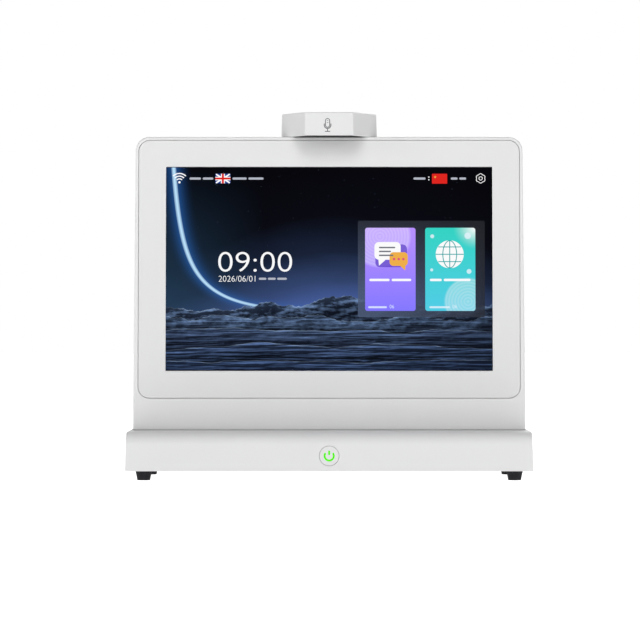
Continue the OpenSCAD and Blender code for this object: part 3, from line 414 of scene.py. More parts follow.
def inlet_metal(name, low, high):
    """Drawn steel shell with painted shade deeper inside, and a black tongue that carries gold
    contacts.
    """
    finish = Finish(name)
    at = finish.place()
    x, y, z = at.axes()
    grain = finish.noise(finish.mapped(at, (700.0, 60.0, 700.0)), 1.0, 3.0)
    rise = abs(z - (low.z + high.z) / 2)
    tongue = (rise < 0.5 * MM) * (abs(x) < 3.4 * MM)
    black = (tongue + (y < low.y + 1.0 * MM)).clip()
    gold = tongue * ((x / (0.5 * MM)).rest() > 0.45) * (rise > 0.3 * MM) * (y > low.y + 2.0 * MM)
    # Painted shade: the shell grows darker from its outer end inwards over 4 mm.
    depth = ((y - high.y) / (4 * MM) + 1.0).clip() * 0.75 + 0.25
    shell = finish.mix(grain * depth, tint("6d6f73"), tint("e2e4e8"))
    base = finish.mix(black, shell, tint("0d0d0f"))
    return finish.coat(finish.mix(gold, base, tint("c9a24c")), 0.28 + 0.14 * grain,
                       Metallic=1 - black + gold)


def dark_glass(name):
    """Polished cover glass over a black print, with faint smears."""
    finish = Finish(name)
    smear = finish.noise(finish.mapped(finish.place(), (30.0, 30.0, 12.0)), 1.0, 3.0)
    return finish.coat(finish.mix(smear, tint("05060a"), tint("0b0d14")), 0.05 + 0.08 * smear)


def lit_picture(name, shades):
    """The screen's picture: a night sky, a ribbon of light and dark rolling waves."""
    finish = Light(name)
    x, y, _ = finish.picture().axes()
    flat = finish.node("ShaderNodeCombineXYZ", {}, {0: x * ASPECT, 1: y})

    mist = finish.noise(finish.mapped(flat, (2.2, 5.0, 1.0)), 1.0, 3.0)
    low = (1.02 - y - (x - 0.56) * (x - 0.56) * 0.9 + (mist - 0.5) * 0.10).clip()
    sky = finish.node("ShaderNodeValToRGB", {"stops": (
        (0.0, shades.night), (0.26, tint("05060f")), (0.44, tint("162036")),
        (0.58, tint("31436c")), (0.72, shades.dusk), (0.86, tint("8ea9dc")))}, {0: low})
    teal = ((0.30 - x) * 3.2).clip() * (1.0 - y).clip()
    sky = finish.mix(teal * 0.8, sky, tint("2b4a66"))
    star = (finish.cells(flat, 46.0) < 0.03) * ((y - 0.5) * 1.6).clip()
    sky = finish.mix(star, sky, tint("a9bce8"))

    swell = finish.noise(finish.mapped(flat, (1.1, 0.0, 1.0)), 1.0, 1.0)
    across = x + 0.012
    above = y - 0.235 - (swell - 0.5) * 0.10
    away = (across * above - 0.027) / ((across * across + above * above) ** 0.5)
    size = abs(away)
    core = (1 - size * 130.0).clip() ** 0.6
    halo = (1 - size * 17.0).clip() ** 2.6
    fade = (1.25 - x * 1.35).clip()
    scene = finish.mix(halo * fade * 0.55, sky, tint("2f6fc4"))
    scene = finish.mix(core * fade, scene, shades.ribbon)

    def relief(across, up, move, depth):
        """Slopes that face the light, over noise of these scales."""
        near, lee = (finish.noise(finish.mapped(flat, (across, up, 1.0), shift), 1.0, 9.0, 0.6)
                     for shift in ((0.0, 0.0, 0.0), move))
        return ((near - lee) * depth + 0.14).clip()

    crag = relief(6.5, 17.0, (0.10, -0.16, 0.0), 5.5)
    water = relief(2.6, 52.0, (0.05, -0.30, 0.0), 4.2)
    silk = finish.noise(finish.mapped(flat, (3.4, 88.0, 1.0)), 1.0, 7.0, 0.72)
    glint = ((silk - 0.58) * 12.0).clip() ** 1.3
    lit = (1.05 - (x - 0.38) * (x - 0.38) * 2.2).clip() * 0.7 + 0.3
    waves = (
        (0.335, 0.19, 1.7, 0.0, 0.00, "7f9fd0", "0a101d"),
        (0.262, 0.12, 2.6, 4.1, 0.45, "86a8dc", "060b16"),
        (0.196, 0.07, 2.1, 8.7, 0.85, "7896cc", "070c18"),
        (0.122, 0.05, 2.4, 13.3, 1.00, "6a88c0", "050a14"),
        (0.050, 0.04, 2.8, 17.9, 1.00, "5c78ac", "070d1a"),
    )
    for level, swing, pace, shift, calm, rim, deep in waves:
        bend = finish.noise(finish.mapped(flat, (pace, 0.25, 1.0), (shift, shift, 0.0)), 1.0, 7.0,
                            0.58 - 0.1 * calm)
        below = level + (bend - 0.5) * swing * 2.2 - y
        crest = (1 - below * 13.0).clip() ** 1.5
        slope = crag * (1.0 - calm) + water * calm
        light = (slope * (crest * 0.7 + 0.28) + glint * calm * 0.5 + crest * 0.08) * lit
        body = finish.mix(light.clip(), tint(deep), tint(rim))
        edge = (1 - below * 230.0).clip() * lit * (slope * 1.2 + 0.2).clip() * 0.75
        body = finish.mix(edge, body, tint("d5ecff"))
        scene = finish.mix((below * 320.0).clip(), scene, body)
    return finish.show(scene)


def lit_card(name, top, foot, field, shine):
    """Card of the menu: a soft fall of colour, a lighter round field and a shining corner."""
    finish = Light(name)
    x, y, _ = finish.picture().axes()
    fall = ((CARD_HIGH - y) / (CARD_HIGH - CARD_LOW)).clip()
    base = finish.mix(fall, top, foot)
    far, near = (((x - across) * (x - across) * ASPECT ** 2 + (y - up) * (y - up)) ** 0.5
                 for across, up, _ in (field, shine))
    ring = ((field[2] - far) * 90.0).clip()
    ripple = (far * 420.0).wave() * 0.05 + 0.25
    shade = finish.mix(ring * ripple, base, WHITE)
    return finish.show(finish.mix((1 - near / shine[2]).clip() ** 1.6, shade, WHITE))


def lit_pane(name):
    """See-through pane of the menu: grey above, and bluer where the sky glows behind it."""
    finish = Light(name)
    x, y, _ = finish.picture().axes()
    glow = ((0.80 - y) * 2.4).clip() * ((1.02 - x) * 2.6).clip()
    return finish.show(finish.mix(glow, tint("242529"), tint("4c5974")), 0.62)


def lit_ink(name, shade, alpha=1.0):
    """One lit colour of the picture, with the display's faint unevenness."""
    finish = Light(name, 0.15)
    dither = finish.noise(finish.picture(), 70.0)
    return finish.show(finish.mix(dither, scaled(shade, 0.96), shade), alpha)


# ---------- Pieces ----------


def link(name, data):
    """Puts a new object into the scene."""
    piece = bpy.data.objects.new(name, data)
    bpy.context.scene.collection.objects.link(piece)
    return piece


def finished(name, bm, materials, nodes=(), body="terminal", crease=35):
    """Turns a bmesh into a piece on its body, smooth but for the edges sharper than crease."""
    mesh = bpy.data.meshes.new(name)
    for edge in bm.edges:
        edge.smooth = True
    bm.to_mesh(mesh)
    bm.free()
    if "custom_normal" in mesh.attributes:
        mesh.attributes.remove(mesh.attributes["custom_normal"])
    for material in materials:
        mesh.materials.append(material)
    mesh.shade_smooth()
    mesh.set_sharp_from_angle(angle=math.radians(crease))
    piece = link(name, mesh)
    weigh = piece.modifiers.new("even_shading", "WEIGHTED_NORMAL")
    weigh.keep_sharp = True
    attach(piece, body)
    if nodes:
        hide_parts(*nodes)


def merged(node):
    """Merged copy of a node's loose triangles, flat faces joined."""
    bm = bmesh.new()
    bm.from_mesh(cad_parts[node].data)
    for face in bm.faces:
        face.material_index = 0
    bmesh.ops.remove_doubles(bm, verts=bm.verts, dist=WELD)
    bmesh.ops.dissolve_limit(bm, angle_limit=math.radians(0.3), use_dissolve_boundaries=False,
                             verts=bm.verts, edges=bm.edges, delimit={"NORMAL"})
    return bm


def ends(edge):
    return [v.co for v in edge.verts]


def round_edges(bm, radius, chosen):
    """Rounds the sharp edges that the test picks."""
    edges = [e for e in bm.edges if e.is_manifold and e.calc_face_angle() > math.radians(40)
             and chosen(e)]
    if not edges:
        raise RuntimeError("no edge to round")
    bmesh.ops.bevel(bm, geom=edges, offset=radius, offset_type="OFFSET", segments=3,
                    profile=0.5, affect="EDGES", clamp_overlap=False, material=-1)
    bmesh.ops.remove_doubles(bm, verts=bm.verts, dist=WELD)
    return bm


def flat_face(node, out):
    """Place of a node's front or rear face: X right, Y up, Z outwards, from its middle."""
    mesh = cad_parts[node].data
    reach = max(f.center.y * out for f in mesh.polygons if f.normal.y * out > 0.9)
    faces = [f for f in mesh.polygons
             if f.normal.y * out > 0.99 and f.center.y * out > reach - 12 * MM]
    normal = sum((f.normal * f.area for f in faces), Vector()).normalized()
    right = Vector((-out, 0, 0))
    up = normal.cross(right)
    points = [mesh.vertices[i].co for f in faces for i in f.vertices]
    high = [p.dot(up) for p in points]
    place = Matrix((right, up, normal)).transposed().to_4x4()
    place.translation = (up * (min(high) + max(high)) / 2
                         + normal * max(p.dot(normal) for p in points))
    return place


def screen_face(side):
    """Place of a screen's face, as flat_face gives it."""
    return flat_face(SCREENS[side], -1 if side == "front" else 1)


class Sheet:
    """A layer of flat shapes, drawn in millimetres from the picture's top left corner."""

    def __init__(self, width, height, low, thick):
        self.bm = bmesh.new()
        self.width, self.height, self.low, self.thick = width, height, low, thick

    def at(self, x, y):
        """The layer's lower side at a place on the picture."""
        return Vector((x * MM - self.width / 2, self.height / 2 - y * MM, self.low))

    def take(self, bm, place=None):
        """Adds a shape, moved to its place."""
        if place is not None:
            bm.transform(place)
        bmesh.ops.recalc_face_normals(bm, faces=bm.faces)
        mesh = bpy.data.meshes.new("shape")
        bm.to_mesh(mesh)
        bm.free()
        self.bm.from_mesh(mesh)
        bpy.data.meshes.remove(mesh)

    def raised(self, bm):
        """Gives a flat outline its thickness."""
        grown = bmesh.ops.extrude_face_region(bm, geom=bm.faces[:])
        top = [v for v in grown["geom"] if isinstance(v, bmesh.types.BMVert)]
        bmesh.ops.translate(bm, vec=(0, 0, self.thick), verts=top)
        return bm

    def plate(self, x0, y0, x1, y1, corner=0.0, turn=0.0):
        """Plate with rounded corners between two corners."""
        bm = bmesh.new()
        bmesh.ops.create_grid(bm, x_segments=1, y_segments=1, size=0.5)
        bmesh.ops.scale(bm, vec=((x1 - x0) * MM, (y1 - y0) * MM, 1), verts=bm.verts)
        if corner:
            bmesh.ops.bevel(bm, geom=bm.verts[:], offset=corner * MM, offset_type="OFFSET",
                            segments=6, profile=0.5, affect="VERTICES", material=-1)
        middle = Matrix.Translation(self.at((x0 + x1) / 2, (y0 + y1) / 2))
        self.take(self.raised(bm), middle @ Matrix.Rotation(turn, 4, "Z"))

    def disc(self, x, y, r, sides=32):
        bm = bmesh.new()
        bmesh.ops.create_circle(bm, cap_ends=True, segments=sides, radius=r * MM)
        self.take(self.raised(bm), Matrix.Translation(self.at(x, y)))

    def outline(self, points):
        """Plate with the given corners."""
        bm = bmesh.new()
        bm.faces.new([bm.verts.new(self.at(*p)) for p in points])
        self.take(self.raised(bm))

    def line(self, points, width, closed=False):
        """Flat line through the given points."""
        curve = bpy.data.curves.new("line", "CURVE")
        curve.dimensions = "3D"
        curve.bevel_depth, curve.bevel_resolution, curve.use_fill_caps = width / 2, 2, True
        spline = curve.splines.new("POLY")
        spline.points.add(len(points) - 1)
        for spot, p in zip(spline.points, points):
            spot.co = (*self.at(*p), 1)
        spline.use_cyclic_u = closed
        flat = Matrix.Translation((0, 0, self.low + self.thick / 2)) @ Matrix.Diagonal(
            (1, 1, self.thick / width, 1)) @ Matrix.Translation((0, 0, -self.low))
        self.take(evaluated(curve), flat)

    def digits(self, text, x0, y0, x1, y1, thin=0.0):
        """Numbers that fill a box."""
        curve = bpy.data.curves.new("digits", "FONT")
        curve.body, curve.extrude, curve.offset, curve.resolution_u = text, 0.5, -thin, 6
        bm = evaluated(curve)
        low, high = (Vector([pick(v.co[i] for v in bm.verts) for i in range(3)])
                     for pick in (min, max))
        room = ((x1 - x0) * MM, (y1 - y0) * MM, self.thick)
        grow = [part / span for part, span in zip(room, high - low)]
        self.take(bm, Matrix.Translation(self.at(x0, y1)) @ Matrix.Diagonal((*grow, 1))
                  @ Matrix.Translation(-low))

    def piece(self, name, side, material):
        """Ends the layer: its own map of the picture, then its place on the tower."""
        chart = self.bm.loops.layers.uv.new("picture")
        for face in self.bm.faces:
            for loop in face.loops:
                spot = loop.vert.co
                loop[chart].uv = (spot.x / self.width + 0.5, spot.y / self.height + 0.5)
        self.bm.transform(screen_face(side))
        finished(name, self.bm, [material])


def evaluated(data):
    """Bmesh of a curve or text, which is then removed."""
    holder = link("outline", data)
    mesh = holder.evaluated_get(bpy.context.evaluated_depsgraph_get()).to_mesh()
    bm = bmesh.new()
    bm.from_mesh(mesh)
    holder.to_mesh_clear()
    bpy.data.objects.remove(holder)
    bpy.data.curves.remove(data)
    bmesh.ops.remove_doubles(bm, verts=bm.verts, dist=0.0005 * MM)
    return bm


def arc(x, y, r, start, end, steps=24):
    """Points on an arc, its angles in degrees from the right, upwards."""
    turns = [math.radians(start + (end - start) * i / steps) for i in range(steps + 1)]
    return [(x + r * math.cos(a), y - r * math.sin(a)) for a in turns]


# ---------- Operators ----------


class DressOperator:
    """What every step shares: the settings, and plain success."""

    bl_options = {"REGISTER", "UNDO"}

    def execute(self, context):
        scene = context.scene
        self.build(scene.translator_sizes, scene.translator_colours, scene.translator_studio)
        return {"FINISHED"}


class TRANSLATOR_OT_stage(DressOperator, bpy.types.Operator):
    """Camera, pale floor, white room and soft lamps"""

    bl_idname = "translator.stage"
    bl_label = "Stage"

    sensor, shift = 36.0, -0.0143
    aim = Vector((0, 0, 0.12))
    # Each softbox's setting, place and window.
    lamps = (
        ("left", (-1.4, -0.8, 0.7), (0.7, 0.5)),
        ("right", (1.4, -0.8, 0.7), (0.7, 0.5)),
        ("front", (0, -1.5, 1.0), (1.2, 0.6)),
        ("top", (0, -1.2, 1.35), (1.2, 0.6)),
        ("rear", (0.25, 1.45, 1.0), (1.2, 0.8)),
    )

    def build(self, sizes, colours, studio):
        scene = bpy.context.scene
        scene.view_settings.view_transform = "Standard"
        camera = bpy.data.cameras.new("camera")
        camera.lens, camera.sensor_width, camera.shift_x = studio.lens, self.sensor, self.shift
        scene.camera = link("camera", camera)
        scene.camera.location = (0, -studio.distance, studio.height)
        scene.camera.rotation_euler = (math.radians(90), 0, 0)
        self.room(scene, studio)
        self.floor(studio)
        for side, spot, window in self.lamps:
            self.lamp(f"{side}_softbox", spot, window, getattr(studio, side))

    def room(self, scene, studio):
        """White to the rays that see it, and dim to the rest."""
        scene.world = bpy.data.worlds.new("room")
        tree = Tree(scene.world)
        pale, dim = (tree.node("ShaderNodeBackground", {}, {"Color": shade, "Strength": strength})
                     for shade, strength in ((WHITE, 1.0), ((0.97, 0.985, 1.0), studio.room)))
        both = tree.node("ShaderNodeMixShader", {}, {0: self.seen(tree), 1: dim, 2: pale})
        tree.feed(tree.nodes["World Output"].inputs["Surface"], both)

    def seen(self, tree):
        """1 for rays that should meet a white studio."""
        rays = tree.node("ShaderNodeLightPath", {}, {}).socket.node.outputs
        camera, glossy, through = (Wire(tree, rays[f"Is {kind} Ray"])
                                   for kind in ("Camera", "Glossy", "Transmission"))
        return camera.most(glossy).most(through)

    def floor(self, studio):
        """Pale table: it glows, less so under the base, and is clear from below."""
        bm = bmesh.new()
        bmesh.ops.create_circle(bm, cap_ends=True, segments=96, radius=9.0)
        mesh = bpy.data.meshes.new("floor")
        bm.to_mesh(mesh)
        bm.free()
        material = bpy.data.materials.new("pale_floor")
        tree = Tree(material)
        tree.nodes.remove(tree.nodes["Principled BSDF"])
        seen = self.seen(tree)
        x, y, _ = tree.place().axes()
        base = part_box("base_shell")[1]
        under = (((base.x + 8 * MM - abs(x)) * 60.0).clip()
                 * ((base.y + 7 * MM - abs(y)) * 120.0).clip())
        shade = under * (1 - seen) * 0.5
        matt = tree.node("ShaderNodeBsdfDiffuse", {}, {"Color": (0.5, 0.5, 0.5)})
        lit = tree.node("ShaderNodeEmission", {},
                        {"Strength": studio.table * (1 - shade) + seen * 0.15})
        top = tree.node("ShaderNodeAddShader", {}, {0: matt, 1: lit})
        clear = tree.node("ShaderNodeBsdfTransparent", {}, {})
        below = tree.node("ShaderNodeNewGeometry", {}, {}, "Backfacing")
        both = tree.node("ShaderNodeMixShader", {}, {0: below, 1: top, 2: clear})
        tree.feed(tree.nodes["Material Output"].inputs["Surface"], both)
        mesh.materials.append(material)
        link("floor", mesh)

    def lamp(self, name, spot, window, power):
        light = bpy.data.lights.new(name, "AREA")
        light.shape, light.energy = "RECTANGLE", power
        light.size, light.size_y = window
        lamp = link(name, light)
        lamp.location = spot
        lamp.rotation_euler = (self.aim - lamp.location).to_track_quat("-Z", "Y").to_euler()
        lamp.visible_camera = False


class TRANSLATOR_OT_housings(DressOperator, bpy.types.Operator):
    """Tower, head and base mouldings with rounded edges"""

    bl_idname = "translator.housings"
    bl_label = "Housings"

    def build(self, sizes, colours, studio):
        tower_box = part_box("tower_housing")
        shell = moulded("shell_plastic", colours.shell, foot=tower_box)
        # Painted light: the tower wears a copy of the shell's white made 5% lighter.
        pale = moulded("tower_plastic", scaled(colours.shell, 1.05), foot=tower_box)
        foot_z = tower_box[0].z + TOUCH
        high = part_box("base_shell")[1]

        def foot_rim(edge):
            return all(p.z < foot_z and (abs(p.y) > 20 * MM or abs(p.x) > 120 * MM)
                       for p in ends(edge))

        def base_rim(edge):
            return edge.calc_length() > 5 * MM and all(
                abs(p.x) > high.x - 3 * MM or abs(p.y) > high.y - 0.1 * MM
                or p.z > high.z - 0.1 * MM for p in ends(edge))

        tower = round_edges(merged("tower_housing"), sizes.foot_edge, foot_rim)
        base = round_edges(merged("base_shell"), sizes.shell_edge, base_rim)
        finished("tower_shell", tower, [pale], ["tower_housing"])
        finished("base_cover", base, [shell], ["base_shell"])
        finished("microphone_head", merged("mic_housing"), [shell],
                 ["mic_housing"])


class TRANSLATOR_OT_panels(DressOperator, bpy.types.Operator):
    """Screen panels with polished window edges"""

    bl_idname = "translator.panels"
    bl_label = "Screen panels"

    def build(self, sizes, colours, studio):
        panel = moulded("panel_plastic", colours.shell)
        # The bevel's gloss is real; its white, lighter than the shell's, is a painted highlight
        # round the picture.
        shine = polished("window_edge", colours.window)
        half_width, half_height = sizes.picture_width / 2, sizes.picture_height / 2
        past = 1.2 * MM
        for side in SCREENS:
            place = screen_face(side)
            face = place.inverted()
            bm = merged(f"{side}_bezel")
            front = max((face @ v.co).z for v in bm.verts)

            def outer(edge):
                spots = [face @ p for p in ends(edge)]
                return all(p.z > front - 0.02 * MM for p in spots) and any(
                    abs(p.x) > half_width + past or abs(p.y) > half_height + past for p in spots)

            def over_window(p):
                return (p.z < front - 0.3 * MM and abs(p.x) < half_width + 0.1 * MM
                        and abs(p.y - half_height + 0.5 * MM) < 0.7 * MM)

            round_edges(bm, sizes.panel_edge, outer)
            bmesh.ops.translate(bm, vec=place.col[1].xyz * sizes.window_rise,
                                verts=[v for v in bm.verts if over_window(face @ v.co)])
            for f in bm.faces:
                slope = (face.to_3x3() @ f.normal).z
                f.material_index = int(0.6 < slope < 0.8 and all(
                    abs((face @ v.co).x) < half_width + past for v in f.verts))
            finished(f"{side}_screen_panel", bm, [panel, shine],
                     [f"{side}_bezel"])


class TRANSLATOR_OT_pictures(DressOperator, bpy.types.Operator):
    """Lit pictures, menu and icons on both screens"""

    bl_idname = "translator.pictures"
    bl_label = "Pictures"

    # Lit colours that lie plain, with how much of what is behind they hide.
    plain = (("white", "fdfdfe", 1.0), ("pale", "b4b8c4", 1.0), ("shadow", "5a35c8", 0.55),
             ("grey", "73757f", 1.0), ("pink", "e0557c", 1.0), ("gold", "f0b04a", 1.0),
             ("blue", "1d3f94", 1.0), ("red", "e0251f", 1.0), ("teal", "1fa7a6", 1.0),
             ("faint", "e8f6ff", 0.5))

    def build(self, sizes, colours, studio):
        inks = {
            "picture": lit_picture("screen_picture", colours),
            "panel": lit_pane("menu_pane"),
            "lilac_card": lit_card("card_lilac", colours.lilac, colours.violet,
                                   (0.655, 0.66, 0.155), (0.0, 1.0, 0.05)),
            "mint_card": lit_card("card_mint", colours.mint, colours.sky,
                                  (0.925, 0.34, 0.12), (0.947, 0.705, 0.11)),
        }
        for name, code, alpha in self.plain:
            inks[name] = lit_ink(f"ink_{name}", tint(code), alpha)
        width, height, step = sizes.picture_width, sizes.picture_height, sizes.ink
        for side in SCREENS:
            layers = []

            def sheet(level, name, ink):
                layers.append((name, ink, Sheet(width, height, level * step * 1.5 + TOUCH, step)))
                return layers[-1][-1]

            self.grounds(sheet, width / MM, height / MM)
            self.signs(sheet, sizes.line)
            self.cards(sheet, sizes.line * 0.8)
            for name, ink, layer in layers:
                layer.piece(f"{side}_{name}", side, inks[ink])

    def grounds(self, sheet, width, height):
        """The picture, the menu's pane and its two cards."""
        sheet(0, "picture", "picture").plate(0.02, 0.02, width - 0.02, height - 0.02)
        sheet(1, "menu", "panel").plate(127.6, 35.6, 211.9, 99.9, 1.2)
        for name, x0, x1 in (("lilac_card", 132.4, 165.9), ("mint_card", 172.3, 205.6)):
            sheet(2, name, name).plate(x0, 40.3, x1, 95.7, 1.6)

    def signs(self, sheet, line):
        """Clock, date and the row of signs along the top."""
        white = sheet(1, "signs", "white")
        white.digits("09:00", 34.8, 56.4, 83.9, 69.6, 0.012)
        white.digits("2026/06/01", 35.1, 72.3, 59.5, 76.2, 0.012)
        for r in (6.0, 4.2, 2.4):
            white.line(arc(8.9, 10.0, r, 45, 135), line)
        white.disc(8.9, 9.9, 0.75)
        for y in (6.4, 8.2):
            white.disc(174.8, y, 0.42, 16)
        turns = [math.radians(i * 7.5) for i in range(48)]
        reach = [2.95 + 0.22 * math.cos(6 * a) for a in turns]
        white.line([(209.3 + r * math.sin(a), 7.3 + r * math.cos(a))
                    for a, r in zip(turns, reach)], line * 0.55, True)
        white.line(arc(209.3, 7.3, 1.15, 0, 345), line * 0.55, True)

        words = sheet(1, "words", "pale")
        for y, *spans in ((7.4, (15.6, 23.2), (24.4, 31.4), (44.2, 53.6), (54.8, 64.8),
                           (164.6, 172.6), (189.4, 193.9), (195.1, 199.6)),
                          (74.3, (61.8, 66.8), (67.8, 73.0), (74.0, 80.4))):
            for x0, x1 in spans:
                words.plate(x0, y - 0.72, x1, y + 0.72, 0.7)

        sheet(1, "blue_chip", "blue").plate(32.8, 4.2, 42.8, 10.6, 0.3)
        cross = sheet(2, "chip_cross", "white")
        for turn in (math.atan2(6.4, 10.0), -math.atan2(6.4, 10.0)):
            cross.plate(32.4, 6.9, 43.2, 7.9, 0, turn)
        cross.plate(32.8, 6.2, 42.8, 8.6)
        cross.plate(36.5, 4.2, 39.1, 10.6)
        red = sheet(3, "red_chip", "red")
        red.plate(32.8, 6.75, 42.8, 8.05)
        red.plate(37.1, 4.2, 38.5, 10.6)
        red.plate(176.9, 4.2, 187.0, 10.8, 0.3)
        tips = [(0.42 if i % 2 else 0.95, math.radians(36 * i)) for i in range(10)]
        sheet(4, "chip_star", "gold").outline([(179.0 + r * math.sin(a), 6.4 - r * math.cos(a))
                                               for r, a in tips])

    def cards(self, sheet, line):
        """Signs on the two cards: two speech bubbles, and a globe."""
        sheet(3, "bubble_shadow", "shadow").plate(139.2, 51.4, 160.2, 66.6, 3.0)
        white = sheet(4, "card_white", "white")
        white.plate(138.6, 49.8, 156.0, 61.6, 3.0)
        white.outline([(141.2, 61.3), (146.4, 61.3), (141.6, 65.6)])
        for x0, x1 in ((135.2, 148.6), (150.0, 163.0), (175.4, 183.2), (184.6, 202.4)):
            white.plate(x0, 74.3, x1, 75.9, 0.75)
        white.disc(188.6, 58.0, 9.3, 64)
        second = sheet(5, "second_bubble", "gold")
        second.plate(148.6, 56.6, 160.8, 65.8, 2.6)
        second.outline([(155.4, 65.5), (159.2, 65.5), (159.0, 68.8)])
        marks = sheet(6, "bubble_lines", "grey")
        for y, x1 in ((53.0, 152.4), (55.6, 149.6), (58.2, 151.2)):
            marks.plate(141.6, y, x1, y + 1.0, 0.45)
        dots = sheet(6, "bubble_dots", "pink")
        for x in (151.6, 154.7, 157.8):
            dots.disc(x, 61.2, 0.85)
        globe = sheet(5, "globe_lines", "teal")
        globe.line([(179.3, 58.0), (197.9, 58.0)], line)
        globe.line([(188.6, 48.7), (188.6, 67.3)], line)
        for bow in (-4.6, 4.6):
            globe.line([(188.6 + bow * math.cos(a), 58.0 + 9.1 * math.sin(a))
                        for a in (math.radians(t) for t in range(-90, 91, 10))], line)
        for rise in (-4.9, 4.9):
            globe.line([(181.0, 58.0 + rise), (196.2, 58.0 + rise)], line)
        faint = sheet(3, "card_notes", "faint")
        for x, y, r in ((177.0, 46.0, 1.3), (201.4, 69.4, 1.6), (176.6, 68.4, 1.0),
                        (200.6, 45.6, 2.2)):
            faint.disc(x, y, r)
        for x0, x1, digits in ((134.4, 146.8, 148.6), (175.0, 188.6, 190.4)):
            faint.plate(x0, 92.6, x1, 93.9, 0.6)
            faint.digits("06", digits, 91.6, digits + 3.0, 94.0)


class TRANSLATOR_OT_controls(DressOperator, bpy.types.Operator):
    """Power button and its lit symbol"""

    bl_idname = "translator.controls"
    bl_label = "Power button"

    def build(self, sizes, colours, studio):
        low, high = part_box("power_button")
        middle = (low + high) / 2

        def rim(edge):
            return all(p.y < low.y + TOUCH and (p - middle).xz.length > 5.5 * MM
                       for p in ends(edge))

        bm = round_edges(merged("power_button"), sizes.button_edge, rim)
        cap = moulded("button_plastic", colours.shell, 0.25 * MM, 0.006 * MM, 0.34)
        finished("power_button_cap", bm, [cap], ["power_button"], "button")
        light = lit_symbol("symbol_light", colours.symbol)
        finished("power_symbol", merged("symbol_lens"), [light],
                 ["symbol_lens"], "button")


class TRANSLATOR_OT_feet(DressOperator, bpy.types.Operator):
    """Turned rubber feet with a collar and a soft lower edge"""

    bl_idname = "translator.feet"
    bl_label = "Feet"

    def build(self, sizes, colours, studio):
        material = rubber("foot_rubber", colours.rubber)
        for node in ("front_left_foot", "front_right_foot", "rear_left_foot", "rear_right_foot"):
            low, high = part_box(node)
            finished(f"{node}_rubber", self.foot(low, high, sizes.foot_steps), [material],
                     [node], crease=50)

    def foot(self, low, high, sides):
        """Spins the foot's section round its upright axis."""
        top, tip, hole, seat = (high.x - low.x) / 2, 4.3 * MM, 1.75 * MM, 3.1 * MM
        tall = high.z - low.z
        section = [(seat, 0.25 * MM), (seat + 0.25 * MM, 0.0), (tip - 0.45 * MM, 0.0),
                   (tip - 0.12 * MM, 0.08 * MM), (tip, 0.3 * MM),
                   (top - 0.2 * MM, tall - 1.6 * MM), (top - 0.16 * MM, tall - 1.45 * MM),
                   (top - 0.04 * MM, tall - 1.4 * MM), (top, tall - 1.25 * MM), (top, tall),
                   (hole, tall), (hole, 3.7 * MM), (seat, 3.7 * MM)]
        bm = bmesh.new()
        ring = [bm.verts.new((r, 0, z)) for r, z in section]
        edges = [bm.edges.new((a, b)) for a, b in zip(ring, ring[1:] + ring[:1])]
        bmesh.ops.spin(bm, geom=ring + edges, cent=(0, 0, 0), axis=(0, 0, 1), dvec=(0, 0, 0),
                       angle=math.tau, steps=sides, use_merge=True, use_duplicate=False)
        bmesh.ops.remove_doubles(bm, verts=bm.verts, dist=0.001 * MM)
        bmesh.ops.recalc_face_normals(bm, faces=bm.faces)
        middle = (low + high) / 2
        bmesh.ops.translate(bm, vec=(middle.x, middle.y, low.z), verts=bm.verts)
        return bm


class TRANSLATOR_OT_marks(DressOperator, bpy.types.Operator):
    """Printed microphone icon on the front and rear of the head"""

    bl_idname = "translator.marks"
    bl_label = "Printed marks"

    def build(self, sizes, colours, studio):
        ink = printed("grey_print", colours.print)
        for side, out in (("front", -1), ("rear", 1)):
            place = flat_face("mic_housing", out)
            icon = Sheet(0, 0, 0.0, 0.03 * MM)
            w = sizes.print_line
            icon.line(arc(0, -2.75, 1.4, 0, 180, 16) + arc(0, 0.2, 1.4, 180, 360, 16), w, True)
            icon.line([(-2.2, -0.9)] + arc(0, 0.2, 2.2, 180, 360) + [(2.2, -0.9)], w)
            for y in (-2.8, -1.6):
                icon.line([(-0.55, y), (0.55, y)], w * 0.6)
            icon.line([(0, 2.4), (0, 4.3)], w)
            icon.line([(-1.75, 4.3), (1.75, 4.3)], w)
            icon.bm.transform(place @ Matrix.Translation((-1.05 * MM, -0.9 * MM, 0)))
            finished(f"{side}_microphone_icon", icon.bm, [ink])


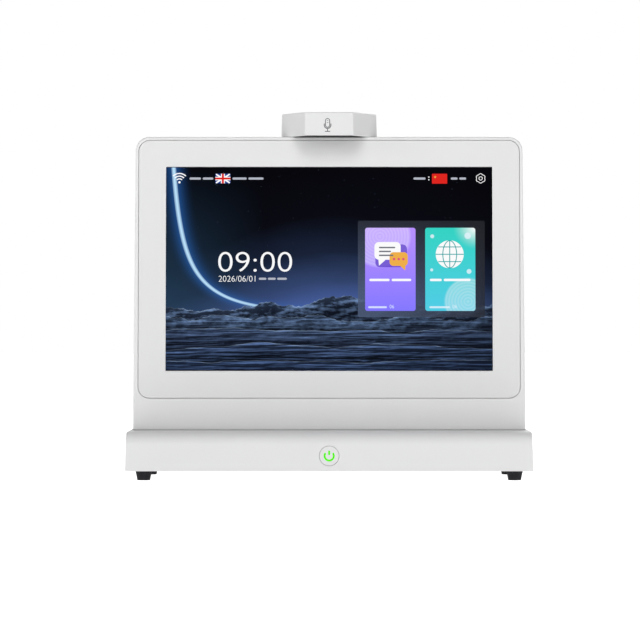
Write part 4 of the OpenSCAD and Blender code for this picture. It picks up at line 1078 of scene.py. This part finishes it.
class TRANSLATOR_OT_insides(DressOperator, bpy.types.Operator):
    """Finishes of the pieces that keep their node's own shape"""

    bl_idname = "translator.insides"
    bl_label = "Inner pieces"

    def build(self, sizes, colours, studio):
        tape = foam("black_foam", tint("2a2a2b"))
        zinc = steel("zinc_sheet", tint("c4c7cb"))
        screw = steel("zinc_screw", tint("9fa2a8"), 0.26, (1500.0, 1500.0, 300.0))
        dark = moulded("switch_plastic", tint("2c2d31"), 0.3 * MM, 0.01 * MM, 0.38)
        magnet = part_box("left_speaker")[1].z - 5.2 * MM
        pairs = {
            "touch_glass": dark_glass("cover_glass"),
            "ribbon": film("amber_film", tint("c98a2e"), tint("d8743a")),
            "foam_tape": tape,
            "display": steel("pressed_steel", tint("d2d4d8"), 0.34, (30.0, 30.0, 1200.0)),
            "brackets": zinc,
        }
        finishes = {
            "bottom_plate": moulded("plate_plastic", scaled(colours.shell, 0.95)),
            # Painted shade: the head's underside is dark grey, standing in for the shade under the
            # head's overhang.
            "mic_floor": moulded("head_floor_plastic", tint("2a2a2c"), 0.35 * MM, rough=0.5),
            "middle_frame": zinc, "battery_strap": zinc,
            "heat_spreader": steel("brushed_aluminium", tint("dfe1e5"), 0.24,
                                   (20.0, 1500.0, 1500.0)),
            "power_ribbon": film("grey_film", tint("bdb6a4"), tint("8f8a7c"), 0.7 * MM),
            "antennas": film("aerial_film", tint("6b4a2a"), tint("b4783c"), 3.0 * MM),
            "microphones": steel("gold_plate", tint("d8bd6a"), 0.22, (800.0, 800.0, 800.0)),
            "mic_gaskets": tape,
            "power_inlet": inlet_metal("drawn_steel", *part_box("power_inlet")),
            "battery_pack": sleeve("battery_sleeve", tint("2e4f86")),
            "push_switch": dark, "switch_plunger": dark,
        }
        for node, axis, middle in (("main_board", 1, -3.8 * MM), ("driver_board", 1, 3.8 * MM),
                                   ("switch_board", 1, None), ("mic_board", 2, None),
                                   ("power_board", 2, None)):
            if middle is None:
                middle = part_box(node)[0][axis] + 0.8 * MM
            finishes[node] = circuit(f"{node}_finish", axis, middle)
        for side in SCREENS:
            finishes.update({f"{side}_{part}": finish for part, finish in pairs.items()})
        for side in ("left", "right"):
            finishes[f"{side}_speaker"] = driver(f"{side}_speaker_finish", magnet)
            finishes[f"{side}_speaker_gasket"] = tape
        for node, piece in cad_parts.items():
            if node.endswith("_screws"):
                finishes[node] = screw
            if piece.hide_render:
                continue
            if node not in finishes:
                raise RuntimeError(f"no finish for {node}")
            for slot in piece.material_slots:
                slot.material = finishes[node]


STEPS = (TRANSLATOR_OT_stage, TRANSLATOR_OT_housings, TRANSLATOR_OT_panels,
         TRANSLATOR_OT_pictures, TRANSLATOR_OT_controls, TRANSLATOR_OT_feet,
         TRANSLATOR_OT_marks, TRANSLATOR_OT_insides)


class TRANSLATOR_PT_panel(bpy.types.Panel):
    """Lists the steps and their settings in the 3D view's sidebar"""

    bl_label = "Desktop translator"
    bl_idname = "TRANSLATOR_PT_panel"
    bl_space_type = "VIEW_3D"
    bl_region_type = "UI"
    bl_category = "Translator"

    def draw(self, context):
        for step in STEPS:
            self.layout.operator(step.bl_idname)
        for group in ("translator_sizes", "translator_colours", "translator_studio"):
            settings = getattr(context.scene, group)
            box = self.layout.box()
            for name in settings.bl_rna.properties.keys():
                if name not in ("rna_type", "name"):
                    box.prop(settings, name)


GROUPS = {"translator_sizes": TranslatorSizes, "translator_colours": TranslatorColours,
          "translator_studio": TranslatorStudio}


def register():
    for kind in (*GROUPS.values(), *STEPS, TRANSLATOR_PT_panel):
        bpy.utils.register_class(kind)
    for name, kind in GROUPS.items():
        setattr(bpy.types.Scene, name, PointerProperty(type=kind))


def unregister():
    for name in GROUPS:
        delattr(bpy.types.Scene, name)
    for kind in (TRANSLATOR_PT_panel, *reversed(STEPS), *GROUPS.values()):
        bpy.utils.unregister_class(kind)


def main():
    register()
    for step in STEPS:
        area, name = step.bl_idname.split(".")
        getattr(getattr(bpy.ops, area), name)()


if __name__ == "__main__":
    main()
